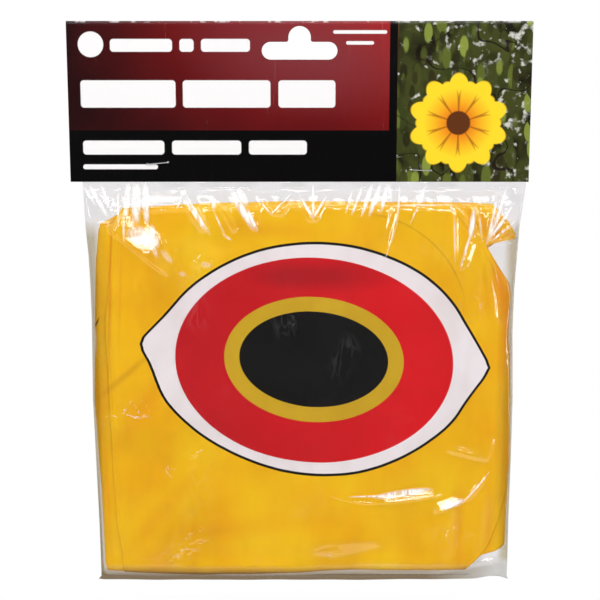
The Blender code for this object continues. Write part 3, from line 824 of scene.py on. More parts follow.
@dataclass(frozen=True)
class CardFinish:
    """Glossy coated print on the header's outside."""

    dark: Color = from_screen(36, 9, 11)
    bright: Color = from_screen(160, 24, 26)
    # Painted reflection: a purple-grey laid over the red panel above its middle.
    sheen: Color = from_screen(108, 64, 70)
    black: Color = from_screen(6, 5, 6)
    paper: Color = from_screen(232, 230, 230)
    shade: Color = from_screen(22, 18, 10)
    moss: Color = from_screen(62, 66, 28)
    sky: Color = from_screen(214, 214, 204)
    twig: Color = from_screen(30, 22, 16)
    leaves: tuple[Leaves, ...] = (
        Leaves(0.7, 0.45, 165.0, 0.50, 0.85, from_screen(52, 60, 24)),
        Leaves(2.3, 0.40, 190.0, 0.46, 0.85, from_screen(100, 112, 44)),
        Leaves(1.5, 0.50, 230.0, 0.40, 0.9, from_screen(34, 32, 14)),
        Leaves(0.2, 0.42, 210.0, 0.42, 0.9, from_screen(134, 148, 62)),
        Leaves(2.8, 0.45, 260.0, 0.42, 0.9, from_screen(44, 40, 20)),
    )
    blossom: Blossom = Blossom()
    band_top: float = -0.0424
    strip_left: float = 0.0369
    strip_right: float = 0.0402
    edge_soft: float = 0.0003
    corner: float = 0.0014
    # Where the painted reflection lies on the red panel.
    glow: Area = Area(0.004, -0.010, 0.032, 0.016, -0.1)
    disc: Area = Area(-0.0854, -0.0074, 0.0052, 0.0052)
    bars: tuple[Area, ...] = Area.rows(
        (-64.8, -7.8, 12.7, 2.6), (-46.2, -7.8, 2.9, 2.6), (-30.3, -7.8, 10.0, 2.6),
        (-70.5, -27.6, 19.5, 5.6), (-30.0, -27.6, 18.0, 5.6), (3.0, -27.6, 11.7, 5.6),
        (-72.8, -49.7, 16.8, 2.9), (-38.5, -49.7, 14.3, 2.9), (-9.0, -49.7, 12.0, 2.9),
        (-74.3, -57.7, 15.5, 1.0), (24.7, -2.4, 11.0, 0.7), (24.7, -6.8, 5.7, 0.7),
    )

    def build(self) -> bpy.types.Material:
        """Make the printed, coated face."""
        material, net, shader = new_material("header_print")
        x, y, z = net.axes()
        front = net.math("LESS_THAN", y, 0.0)
        band = net.spread(z, self.band_top, self.band_top - self.edge_soft)
        color = net.blend(band, self.panel(net, x, z), self.black)
        picture = net.times(self.after(net, x, self.strip_right), front)
        strip = net.minus(self.after(net, x, self.strip_left), picture, clamp=True)
        color = net.blend(net.times(strip, front), color, self.black)
        color = net.blend(picture, color, self.meadow(net, x, z))
        color = net.blend(net.times(self.marks(net), front), color, self.paper)
        # White board along the fold: cracked ink, and partly a painted highlight of the fold's glare.
        wear_and_glare = self.crease_wear_and_glare(net, z)
        rough = net.plus(net.plus(0.17, net.scuffs(900.0, 0.12)), net.times(wear_and_glare, 0.4))
        inputs = {"Base Color": net.blend(wear_and_glare, color, self.paper), "Roughness": rough, "IOR": 1.5}
        net.fill(shader, {**inputs, "Normal": net.bump(net.grain(620.0, 30.0)["Height"], 0.00002, 0.5)})
        return material

    def after(self, net: Wiring, x: object, start: float) -> Socket:
        """1 to the right of a printed edge."""
        return net.spread(x, start - self.edge_soft / 2, start + self.edge_soft / 2)

    def panel(self, net: Wiring, x: object, z: object) -> Socket:
        """The red ground, dark at its left and lower edge, with a painted reflection above its middle."""
        across = net.spread(x, -0.095, 0.036)
        up = net.spread(z, -0.042, 0.002, 0.35, 1.0)
        wander = net.spread(net.noise(22.0), 0.3, 0.7, -0.05, 0.05)
        share = net.plus(net.times(across, up), wander, clamp=True)
        color = net.blend(share, self.dark, self.bright)
        # Painted reflection over the red ground.
        return net.blend(net.times(net.oval(self.glow, 1.6), 0.5), color, self.sheen)

    def meadow(self, net: Wiring, x: object, z: object) -> Socket:
        """A plain decorative picture of leaves against the light with one flower."""
        ground = net.blend(net.spread(net.noise(75.0, 4.0), 0.38, 0.62), self.shade, self.moss)
        right = net.spread(x, 0.040, 0.095, -0.04, 0.05)
        upper = net.spread(z, -0.060, 0.0, -0.02, 0.03)
        light = net.plus(net.noise(330.0), net.plus(right, upper))
        color = net.blend(net.spread(light, 0.60, 0.72, 0.0, 0.8), ground, self.sky)
        for layer in self.leaves:
            lie = net.lie(layer.turn, (1.0, 0.0, layer.slimness))
            inputs = {"Vector": lie, "Scale": layer.per_metre, "Randomness": 0.9}
            cells = net.add("ShaderNodeTexVoronoi", inputs)
            kept = net.add("ShaderNodeSeparateColor", {"Color": cells.outputs["Color"]})
            mask = net.spread(cells.outputs["Distance"], layer.reach, layer.reach * 0.8, 0.0, layer.amount)
            mask = net.times(mask, net.math("GREATER_THAN", kept.outputs[0], 0.4))
            color = net.blend(mask, color, net.blend(kept.outputs[1], layer.tint, self.moss))
        line = net.size(net.minus(net.noise(34.0, 1.0, bent=0.8), 0.5))
        color = net.blend(net.spread(line, 0.008, 0.004, 0.0, 0.9), color, self.twig)
        return self.blossom.paint(net, color)

    def marks(self, net: Wiring) -> Socket:
        """The plain round-ended bars that stand where a header carries its words."""
        total = net.oval(self.disc, self.edge_soft / self.disc.half_x)
        for bar in self.bars:
            corner = min(bar.half_x, bar.half_z, self.corner)
            total = net.most(total, net.box(bar, corner, self.edge_soft))
        return total

    def crease_wear_and_glare(self, net: Wiring, z: object) -> Socket:
        """White board showing through cracked ink along the fold, partly a painted highlight of its glare.
        """
        near = net.spread(z, 0.0012, 0.0020)
        ragged = net.plus(net.noise(300.0, 4.0), net.spread(net.noise(16.0, 1.0), 0.35, 0.65, -0.1, 0.12))
        return net.times(near, net.spread(ragged, 0.53, 0.63, 0.0, 0.75))


@dataclass(frozen=True)
class BoardFinish:
    """Bare white board on the header's inside and cut edges."""

    color: Color = from_screen(226, 222, 214)

    def build(self) -> bpy.types.Material:
        """Make the uncoated board."""
        material, net, shader = new_material("board_core")
        grain = net.grain(1400.0, 120.0)
        tone = net.spread(grain["Height"], 0.3, 0.7)
        inputs = {"Base Color": net.blend(tone, self.color, toned(self.color, 1.12))}
        inputs["Roughness"] = net.spread(grain["Tone"], -1.0, 1.0, 0.78, 0.9)
        net.fill(shader, {**inputs, "Normal": net.bump(grain["Height"], 0.00006)})
        return material


@dataclass(frozen=True)
class EyePrint:
    """The printed eye: a lemon outline round three ellipses, all tilted alike.

    The outline's upper and lower edge are tables of (along, up), from the print's middle.
    """

    center: Point = (0.00665, -0.1390)
    turn: float = math.radians(-4.07)
    upper: Table = in_metres((
        (-73.3, 1.5), (-73.0, 3.3), (-72.1, 4.8), (-70.4, 6.9), (-67.3, 10.5), (-64.1, 14.3),
        (-62.5, 16.4), (-54.7, 26.2), (-46.6, 33.3), (-38.6, 38.6), (-30.5, 42.7), (-22.4, 45.7),
        (-14.1, 47.7), (-5.8, 48.9), (2.5, 49.3), (10.9, 48.9), (19.4, 47.5), (28.0, 45.1),
        (36.7, 41.7), (45.5, 36.7), (54.7, 28.7), (62.4, 18.4), (66.3, 12.8), (70.2, 7.0), (72.3, 3.6),
        (73.1, 1.6),
    ))
    lower: Table = in_metres((
        (-73.3, 1.0), (-72.8, -0.8), (-71.6, -3.0), (-69.8, -6.0), (-67.9, -10.2), (-66.0, -14.9),
        (-64.0, -19.1), (-62.2, -21.9), (-60.4, -24.2), (-51.4, -32.6), (-42.4, -38.7), (-33.6, -43.0),
        (-24.7, -46.4), (-15.9, -48.9), (-7.2, -50.4), (1.5, -50.9), (10.1, -50.4), (18.6, -49.2),
        (27.0, -46.8), (35.3, -43.1), (43.6, -38.2), (51.6, -31.9), (59.5, -23.8), (65.3, -13.6),
        (68.3, -8.4), (71.3, -3.4), (72.6, -0.4), (73.1, 1.0),
    ))
    grow_at: Point = (0.0733, 0.0504)
    line: float = 0.0012
    red_part: Area = Area(0.0062, -0.1402, 0.0590, 0.0448, turn)
    ring_part: Area = Area(0.0061, -0.1395, 0.0381, 0.0274, turn)
    pupil_part: Area = Area(0.0060, -0.1393, 0.0316, 0.0209, turn)
    # Painted shadow of a fold behind the sheet, over the top of the red.
    pressed: Area = Area(0.0030, -0.1030, 0.0280, 0.0060)
    front_limit: float = -0.0025
    soft: float = 0.00025
    span_x: float = 0.16
    span_z: float = 0.12
    white: Color = from_screen(248, 241, 243)
    red: Color = from_screen(226, 17, 28)
    # Painted shade: the red where the sheet lies in shadow.
    shaded_red: Color = from_screen(184, 17, 28)
    mustard: Color = from_screen(214, 174, 34)
    black: Color = from_screen(12, 11, 11)

    def edge(self, net: Wiring, along: object, table: Table) -> Socket:
        """Height of one edge of the outline, by place along it.

        Args:
            net: The tree.
            along: The place, from the print's middle.
            table: The edge's chosen points.

        Returns:
            The height.
        """
        node = net.add("ShaderNodeFloatCurve", {"Value": net.plus(net.over(along, self.span_x), 0.5)})
        curve = node.mapping.curves[0]
        places = [(u / self.span_x + 0.5, v / self.span_z + 0.5) for u, v in table]
        curve.points[0].location = (0.0, places[0][1])
        curve.points[1].location = (1.0, places[-1][1])
        for place in places:
            curve.points.new(*place)
        node.mapping.update()
        return net.times(net.minus(node.outputs["Value"], 0.5), self.span_z)

    def outline(self, net: Wiring, grow: float) -> Socket:
        """1 inside the outline, grown evenly by a little."""
        axes = net.axes()
        x, z = net.minus(axes["X"], self.center[0]), net.minus(axes["Z"], self.center[1])
        along, up = net.turned(x, z, math.cos(self.turn), math.sin(self.turn))
        along = net.over(along, 1 + grow / self.grow_at[0])
        up = net.over(up, 1 + grow / self.grow_at[1])
        above = net.minus(up, self.edge(net, along, self.upper))
        below = net.minus(self.edge(net, along, self.lower), up)
        beyond = net.minus(net.size(along), self.grow_at[0])
        away = net.most(net.most(above, below), beyond)
        return net.spread(away, self.soft / 2, -self.soft / 2)

    def red_ink_and_shade(self, net: Wiring) -> Socket:
        """Red ink with painted shade: deeper to the left, with a painted shadow where folds press through.
        """
        deep = net.spread(net.axes()["X"], -0.035, 0.045, 0.55, 0.0)
        return net.blend(net.most(deep, net.oval(self.pressed, 1.2)), self.red, self.shaded_red)

    def paint(self, net: Wiring, ground: object) -> Socket:
        """Print the eye over a ground colour, on the front run of the sheet alone."""
        color = net.blend(self.outline(net, self.line), ground, self.black)
        color = net.blend(self.outline(net, 0.0), color, self.white)
        inks = (self.red_ink_and_shade(net), self.mustard, self.black)
        for part, ink in zip((self.red_part, self.ring_part, self.pupil_part), inks):
            color = net.blend(net.oval(part, self.soft / part.half_x), color, ink)
        on_front = net.math("LESS_THAN", net.axes()["Y"], self.front_limit)
        return net.blend(on_front, ground, color)


@dataclass(frozen=True)
class ShadeAndInkPatch(Area):
    """A soft patch on a sheet, with its strength: painted shade, or a small mark of ink."""

    amount: float = 0.3
    # The deep orange of painted shade in the folds.
    tint: Color = from_screen(236, 136, 6)


@dataclass(frozen=True)
class VinylFinish:
    """Thin satin vinyl, dyed yellow, with or without the print and with painted shade."""

    name: str = "yellow_sheet"
    eye: EyePrint | None = None
    # Whether the darker arc over the cap's edge and the painted shade at the stack's foot are laid on.
    arc_line_and_foot_shade: bool = False
    color: Color = from_screen(255, 207, 10)
    deep: Color = from_screen(249, 181, 6)
    mark: Color = from_screen(176, 124, 20)
    # Colour of the painted shade at the stack's foot.
    foot_shade_color: Color = from_screen(150, 102, 24)
    dull: Color = (0.90, 0.875, 0.84)
    # Patches of painted shade, and on the printed gores two marks of the next eye's ink.
    shades: tuple[ShadeAndInkPatch, ...] = ()
    mark_center: Point = (0.0230, -0.1240)
    mark_radius: float = 0.0476
    mark_half: float = 0.0006

    def build(self) -> bpy.types.Material:
        """Make the sheet's material."""
        material, net, shader = new_material(self.name)
        grain = net.grain(2200.0, 38.0)
        tone = net.spread(grain["Tone"], -1.0, 1.0, 0.0, 0.6)
        color = net.blend(net.plus(tone, self.slanting_streaks(net), clamp=True), self.deep, self.color)
        # Lay on the painted shade, and the next eye's ink where it is given.
        for shade in self.shades:
            color = net.blend(net.times(net.oval(shade, 1.4), shade.amount), color, shade.tint)
        if self.arc_line_and_foot_shade:
            color = net.blend(self.cap_arc_line(net), color, self.mark)
            # Painted shade where the sheet bends back at the stack's foot.
            color = net.blend(self.painted_foot_shade(net), color, self.foot_shade_color)
        if self.eye:
            color = self.eye.paint(net, color)
        color = net.blend(self.dulled(net), color, self.dull, "MULTIPLY")
        rough = net.spread(grain["Tone"], -1.0, 1.0, 0.33, 0.42)
        inputs = {"Base Color": color, "Roughness": rough, "IOR": 1.5, "Specular IOR Level": 0.32}
        net.fill(shader, {**inputs, "Normal": net.bump(grain["Height"], 0.00002, 0.4)})
        return material

    def dulled(self, net: Wiring) -> Socket:
        """Soft uneven dulling where the sheet is scuffed, over ground and print alike."""
        soft = net.spread(net.noise(30.0, 4.0, bent=0.5), 0.42, 0.68, 0.0, 0.8)
        fine = net.noise(240.0, 3.0, net.lie(0.5, (1.0, 1.0, 0.25)))
        return net.plus(soft, net.spread(fine, 0.5, 0.7, 0.0, 0.3), clamp=True)

    def slanting_streaks(self, net: Wiring) -> Socket:
        """Faint slanting streaks of deeper colour across the sheet."""
        total: object = 0.0
        for turn, scale in ((0.7, 70.0), (2.3, 110.0)):
            lines = net.noise(scale, 3.0, net.lie(turn, (1.0, 1.0, 0.3)))
            total = net.plus(total, net.spread(lines, 0.35, 0.65, 0.0, 0.22))
        return total

    def painted_foot_shade(self, net: Wiring) -> Socket:
        """Painted shade, dull brown, where the sheet bends back at the stack's foot; most on the left."""
        axes = net.axes()
        start = net.spread(axes["X"], -0.02, 0.05, -0.2318, -0.2345)
        return net.spread(net.minus(start, axes["Z"]), 0.0, 0.0055, 0.0, 0.85)

    def cap_arc_line(self, net: Wiring) -> Socket:
        """A thin dull arc where the round cap behind has pressed through the folded sheet."""
        axes = net.axes()
        x, z = net.minus(axes["X"], self.mark_center[0]), net.minus(axes["Z"], self.mark_center[1])
        off = net.size(net.minus(net.length(x, z), self.mark_radius))
        line = net.times(net.spread(off, self.mark_half, 0.0, 0.0, 0.42), net.spread(x, 0.004, 0.012))
        return net.times(line, net.spread(z, 0.010, 0.020))


@dataclass(frozen=True)
class MilkyFinish:
    """Soft moulded vinyl of the valve, a little cloudy."""

    color: Color = from_screen(234, 228, 208)

    def build(self) -> bpy.types.Material:
        """Make the moulding's material."""
        material, net, shader = new_material("milky_moulding")
        grain = net.grain(1500.0, 160.0)
        tone = net.spread(grain["Tone"], -1.0, 1.0)
        inputs = {
            "Base Color": net.blend(tone, self.color, toned(self.color, 1.08)),
            "Roughness": net.spread(grain["Height"], 0.3, 0.7, 0.3, 0.42),
            "Subsurface Weight": 0.25,
            "Subsurface Radius": (0.002, 0.0018, 0.0012),
            "Subsurface Scale": 1.0,
            "Normal": net.bump(grain["Height"], 0.00002, 0.5),
        }
        net.fill(shader, inputs)
        return material


@dataclass(frozen=True)
class StapleFinish:
    """Bright drawn wire."""

    color: Color = from_screen(205, 205, 208)

    def build(self) -> bpy.types.Material:
        """Make the wire's metal."""
        material, net, shader = new_material("drawn_wire")
        mask = net.scuffs(5200.0, 0.5)
        color = net.blend(mask, self.color, toned(self.color, 0.55))
        rough = net.spread(mask, 0.0, 0.5, 0.2, 0.42)
        net.fill(shader, {"Base Color": color, "Roughness": rough, "Metallic": 1.0})
        return material


@dataclass(frozen=True)
class FilmFinish:
    """Clear crinkled film: it lets the light through, and its gloss lies on top.

    Each streak is a white line of painted highlight, laid where the film catches a glint: the two
    ends as x, z, x, z and the half width, all in millimetres, and the strength.
    """

    tint: Color = (0.905, 0.895, 0.9)
    # Painted shade on what is seen through the film: beside the stack, at the hem and along part of the
    # left weld.
    side_painted_shade: Color = (0.72, 0.675, 0.585)
    hem_painted_shade: Color = (0.50, 0.43, 0.34)
    hem_pale_painted_shade: Color = (0.80, 0.79, 0.775)
    hem_top: float = -0.2352
    hem_full: float = -0.2374
    dark_side: Area = Area(-0.0879, -0.2250, 0.0014, 0.0300, 0.02)
    # White of the veil: both the film's whitened crinkles and its painted highlights.
    haze_and_glint_white: Color = (1.0, 0.995, 0.985)
    gloss: Color = (1.0, 1.0, 1.0)
    # Painted shade: the gloss colour at the film's foot, so it reflects little there.
    dull: Color = (0.30, 0.28, 0.25)
    shine_ahead: float = 0.058
    shine_aside: float = 0.85
    rough: float = 0.085
    clearest: float = 0.002
    milkiest: float = 0.03
    # Painted highlights: white lines where the film catches glints.
    streaks: tuple[tuple[float, ...], ...] = (
        (-70.5, -83.5, -59.8, -88.5, 3.31, 0.72), (-61.3, -81.8, -59.0, -90.2, 1.24, 0.72),
        (33.8, -200.4, 55.3, -197.2, 1.4, 0.90), (22.6, -200.4, 39.9, -200.0, 0.41, 0.75),
        (61.5, -204.5, 70.5, -202.2, 1.74, 0.88), (70.6, -202.7, 81.0, -190.0, 0.41, 0.70),
        (72.3, -75.1, 70.9, -86.8, 1.07, 0.80), (-89.7, -66.5, -85.3, -73.4, 0.66, 0.70),
        (-87.2, -66.5, -79.5, -78.4, 0.91, 0.85), (-82.7, -65.7, -80.0, -71.1, 0.5, 0.60),
        (-89.6, -68.0, -83.0, -67.3, 0.5, 0.55), (-71.4, -64.9, -72.0, -77.6, 1.24, 0.70),
        (-68.1, -64.9, -67.5, -79.3, 1.74, 0.90), (-64.4, -64.9, -63.4, -80.1, 1.32, 0.80),
        (-75.6, -66.5, -75.0, -80.1, 0.41, 0.55), (-72.9, -77.6, -72.7, -87.7, 0.5, 0.50),
        (-69.1, -77.6, -68.9, -84.3, 0.5, 0.50), (-48.5, -69.2, -38.9, -84.3, 0.45, 0.70),
        (-47.2, -69.2, -38.1, -83.9, 0.66, 0.85), (-48.9, -69.2, -50.8, -74.2, 0.5, 0.65),
        (-49.7, -68.4, -46.8, -68.4, 0.91, 0.60), (-36.0, -69.6, -35.5, -75.9, 0.66, 0.65),
        (-35.5, -75.9, -30.6, -86.8, 0.41, 0.50), (-32.3, -85.2, -28.6, -87.7, 0.5, 0.50),
        (-28.5, -67.3, -19.8, -81.8, 1.49, 0.85), (-25.6, -67.3, -21.8, -72.7, 1.32, 0.80),
        (-21.4, -75.1, -17.7, -83.5, 0.74, 0.80), (-18.1, -70.0, -11.9, -76.7, 0.37, 0.75),
        (-11.9, -76.7, -3.6, -68.8, 0.33, 0.70), (0.2, -69.6, 5.6, -78.4, 0.5, 0.80),
        (5.6, -78.4, 11.0, -69.6, 0.45, 0.75), (5.6, -65.7, 5.6, -78.4, 0.5, 0.70),
        (30.1, -65.7, 25.9, -76.7, 0.83, 0.80), (33.5, -65.7, 29.2, -76.7, 0.99, 0.85),
        (36.4, -65.7, 33.8, -75.9, 0.74, 0.80), (26.0, -66.5, 21.7, -76.7, 0.58, 0.65),
        (21.8, -68.0, 19.2, -75.9, 0.5, 0.55), (37.2, -64.9, 37.9, -71.9, 0.91, 0.40),
        (41.8, -65.7, 40.1, -81.8, 0.41, 0.50), (40.1, -81.8, 35.6, -96.2, 0.33, 0.35),
        (53.0, -64.9, 49.5, -72.7, 0.74, 0.55), (49.5, -72.7, 46.3, -80.1, 0.41, 0.45),
        (38.3, -73.4, 62.4, -73.1, 0.41, 0.40), (62.4, -73.1, 64.0, -75.9, 0.5, 0.50),
        (64.0, -75.1, 64.9, -97.0, 0.41, 0.45), (78.0, -88.5, 82.0, -69.6, 0.54, 0.65),
        (78.4, -87.7, 85.8, -68.0, 0.83, 0.70), (78.8, -86.8, 88.9, -73.4, 0.74, 0.70),
        (79.7, -87.7, 90.3, -79.3, 0.5, 0.55), (71.3, -84.3, 67.4, -98.7, 0.58, 0.65),
        (74.4, -76.7, 75.9, -87.7, 0.37, 0.40), (-62.3, -87.7, -59.1, -94.5, 1.03, 0.45),
        (-57.4, -91.9, -53.3, -97.0, 1.24, 0.25), (-41.2, -97.5, -37.0, -98.7, 1.24, 0.30),
        (-50.9, -101.7, -47.5, -102.6, 1.03, 0.30),
    )

    def build(self) -> bpy.types.Material:
        """Make the film."""
        material, net, shader = new_material("clear_film_sheet")
        x, y, z = net.axes()
        crease, cloud = self.crinkle(net)
        crumpled = self.crumpled(net)
        height = net.plus(crease, net.times(cloud, 0.5))
        height = net.plus(height, net.times(self.drawn_lines(net), 0.3))
        height = net.plus(height, net.times(net.times(crumpled, self.facets(net)), 3.0))
        normal = net.bump(height, 0.0004, 0.22)
        # Painted shade in the gloss at the film's foot.
        color = net.blend(net.spread(z, -0.2312, -0.2335), self.gloss, self.dull)
        rough = net.plus(self.rough, net.scuffs(1100.0, 0.2))
        net.fill(shader, {"Base Color": color, "Metallic": 1.0, "Roughness": rough, "Normal": normal})
        clear = net.add("ShaderNodeBsdfTransparent", {"Color": self.see_through(net, x, z)})
        veil = net.add("ShaderNodeBsdfDiffuse", {"Color": self.haze_and_glint_white})
        # The veil shows the film's whitened crinkles, and painted highlights on the listed lines and
        # crumpled patches.
        haze_and_glints = net.spread(crease, 0.1, 1.0, self.clearest, self.milkiest)
        glint_lines = net.most(self.glint_lines(net), self.wrinkle_glints(net, crumpled))
        haze_and_glints = net.most(haze_and_glints, net.times(glint_lines, net.math("LESS_THAN", y, 0.0)))
        facing = net.add("ShaderNodeLayerWeight", {"Blend": 0.5, "Normal": normal})
        shine = net.times(net.math("POWER", facing.outputs["Facing"], 5.0), self.shine_aside)
        shine = net.plus(shine, self.shine_ahead, clamp=True)
        shine = net.times(shine, self.rubbed_neck(net, z))
        net.show(MATERIAL_OUTPUT, net.mix(shine, net.mix(haze_and_glints, clear, veil), shader))
        return material

    def see_through(self, net: Wiring, x: object, z: object) -> Socket:
        """The colour seen through, darkened by painted shade at the hem, a side weld and beside the stack.
        """
        top = net.spread(x, 0.060, 0.085, self.hem_top, self.hem_top + 0.005)
        hem = net.spread(net.minus(top, z), 0.0, self.hem_top - self.hem_full)
        hem = net.most(hem, net.times(net.oval(self.dark_side, 1.2), 0.85))
        # Painted shade at the hem: dark olive, paler grey toward the right.
        weld = net.blend(net.spread(x, 0.055, 0.085), self.hem_painted_shade, self.hem_pale_painted_shade)
        side = net.most(net.spread(x, -0.0843, -0.0858), net.spread(x, 0.0860, 0.0890))
        beside = net.times(side, net.spread(z, -0.080, -0.088))
        return net.blend(hem, net.blend(beside, self.tint, self.side_painted_shade), weld)

    def rubbed_neck(self, net: Wiring, z: object) -> Socket:
        """The share of the gloss left on the film: patchy where the card's edge has scuffed it."""
        kept = net.spread(net.noise(130.0), 0.44, 0.62, 0.1, 1.0)
        below = net.spread(z, -0.0690, -0.0705)
        return net.plus(below, net.times(kept, net.minus(1.0, below)))

    def glint_lines(self, net: Wiring) -> Socket:
        """The painted highlight lines, broken up along their length."""
        total: object = 0.0
        for *numbers, amount in self.streaks:
            x, z, end_x, end_z, half = in_metres(tuple(numbers))
            run_x, run_z = end_x - x, end_z - z
            middle = ((x + end_x) / 2, (z + end_z) / 2)
            line = Area(*middle, math.hypot(run_x, run_z) / 2, half, math.atan2(run_z, run_x))
            total = net.most(total, net.spread(net.away(line), 1.3, 0.6, 0.0, amount))
        broken = net.noise(620.0, at=net.lie(0.0, (1.0, 1.0, 0.22)))
        return net.times(total, net.spread(broken, 0.34, 0.54, 0.35, 1.0))

    def crumpled(self, net: Wiring) -> Socket:
        """1 in the small patches where the film is crumpled."""
        total: object = 0.0
        for spot in FilmRelief.crumples:
            total = net.most(total, net.spread(net.away(spot), 1.4, 0.6))
        return total

    def wrinkle_glints(self, net: Wiring, crumpled: object) -> Socket:
        """Short fine white lines in the crumpled patches: painted glints of the crinkles."""
        waves = net.noise(250.0, at=net.lie(0.75, (0.6, 1.0, 1.0)), bent=0.4)
        line = net.spread(net.size(net.minus(waves, 0.5)), 0.003, 0.022, 0.42, 0.0)
        line = net.times(line, net.spread(net.noise(480.0, 1.0), 0.46, 0.58))
        return net.times(line, crumpled)

    def facets(self, net: Wiring) -> Socket:
        """Small flat facets that meet in sharp edges, 0 to 1."""
        inputs = {"Vector": net.point, "Scale": 420.0}
        cells = net.add("ShaderNodeTexVoronoi", inputs, feature="DISTANCE_TO_EDGE")
        return net.plus(cells.outputs["Distance"], net.times(net.noise(260.0, 1.0), 0.8))

    def drawn_lines(self, net: Wiring) -> Socket:
        """Fine long streaks in the gloss, left by drawing the film."""
        return net.noise(900.0, at=net.lie(0.0, (0.18, 1.0, 1.0)))

    def crinkle(self, net: Wiring) -> tuple[Socket, Socket]:
        """Fine sharp creases in scattered patches, and soft clouding; both 0 to 1."""
        total: object = 0.0
        for turn, scale, seed in ((0.5, 84.0, 0.0), (1.9, 105.0, 3.7), (2.7, 150.0, 8.1)):
            waves = net.noise(scale, at=net.lie(turn, (1.0, 1.0, 0.36), seed), bent=0.25)
            ridge = net.size(net.minus(waves, 0.5))
            total = net.most(total, net.spread(ridge, 0.0, 0.022, 1.0, 0.0))
        patches = net.spread(net.noise(34.0, 1.0), 0.54, 0.74)
        return net.times(total, patches), net.noise(150.0, 3.0)


class PackFrame:
    """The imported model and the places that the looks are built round."""

    def __init__(self) -> None:
        """Load the frame and read what the classes below need."""
        self.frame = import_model()
        self.cad_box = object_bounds()
        swing = next(j for j in self.frame["joints"] if j["name"] == "pouch_swing")
        self.hinge_z = swing["pos_m"][2]
        self.card_low, self.card_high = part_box("header_card")
        self.lip_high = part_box("bag_lip")[1]

    def node(self, name: str) -> bpy.types.Object:
        """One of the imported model's own pieces."""
        return self.frame["nodes"][name]


@dataclass
class StackOutline:
    """Edges of the folded stack seen from the front, as chosen points of (z, x) or (x, z)."""

    left: Table = in_metres((
        (-72.0, -73.5), (-74.5, -74.6), (-76.8, -76.2), (-80.0, -77.6), (-80.5, -83.6), (-97.2, -85.3),
        (-122.1, -86.4), (-157.1, -87.4), (-174.9, -86.6), (-197.5, -85.5), (-215.7, -85.1),
        (-231.9, -84.7), (-238.0, -83.5),
    ))
    left_seam: Table = in_metres((
        (-72.0, -73.5), (-74.5, -74.6), (-76.8, -76.2), (-80.2, -77.8), (-90.0, -78.6), (-106.0, -80.0),
        (-124.0, -82.2), (-157.1, -81.2), (-188.0, -80.3), (-212.0, -79.3), (-225.0, -77.5),
        (-238.0, -76.5),
    ))
    right: Table = in_metres((
        (-72.0, 80.0), (-74.3, 81.1), (-77.7, 84.5), (-80.2, 87.2), (-85.5, 90.2), (-87.2, 90.0),
        (-89.7, 80.0), (-90.4, 78.1), (-92.5, 79.2), (-99.7, 83.6), (-106.1, 87.8), (-110.4, 88.8),
        (-130.8, 88.2), (-135.1, 88.9), (-157.1, 89.9), (-183.9, 90.1), (-200.0, 89.6), (-215.7, 89.3),
        (-223.5, 89.2), (-226.2, 86.2), (-228.4, 79.0), (-234.7, 73.5), (-238.0, 71.5),
    ))
    right_front: Table = in_metres((
        (-72.0, 80.0), (-74.3, 81.1), (-77.7, 84.3), (-80.2, 87.0), (-85.5, 90.0), (-87.2, 89.6),
        (-89.7, 79.8), (-90.4, 78.0), (-92.5, 79.0), (-99.7, 83.3), (-106.1, 87.5), (-110.4, 88.5),
        (-130.8, 87.9), (-135.1, 88.6), (-157.1, 89.6), (-183.9, 89.8), (-199.7, 88.6), (-211.1, 86.2),
        (-215.7, 84.8), (-223.0, 82.2), (-229.0, 78.0), (-234.7, 73.3), (-238.0, 71.3),
    ))
    top_shift: Table = in_metres((
        (-85.0, -1.6), (-74.0, -1.3), (-58.0, -0.6), (-33.0, 0.6), (4.3, 1.3), (74.8, 0.6),
        (90.0, -0.4),
    ))
    bottom_shift: Table = in_metres((
        (-85.0, 0.4), (-70.0, -0.3), (-42.0, -1.0), (-20.0, -0.8), (0.2, -0.1), (22.9, 1.0),
        (43.8, 1.0), (73.5, 1.0), (90.0, 1.0),
    ))
    notch: Point = (0.0779, -0.0904)

    def edges(self, z: Array, front: bool) -> tuple[Array, Array]:
        """Left and right edge of a layer at each height.

        Args:
            z: Heights.
            front: Whether it is the foremost layer, which is narrower.

        Returns:
            The two edges.
        """
        left = self.left_seam if front else self.left
        right = self.right_front if front else self.right
        return read_table(left, z, smooth=False), read_table(right, z, smooth=False)

    def bottom(self, x: Array, fold_z: float) -> Array:
        """The lowest line of the stack at each place across."""
        return fold_z + read_table(self.bottom_shift, x)


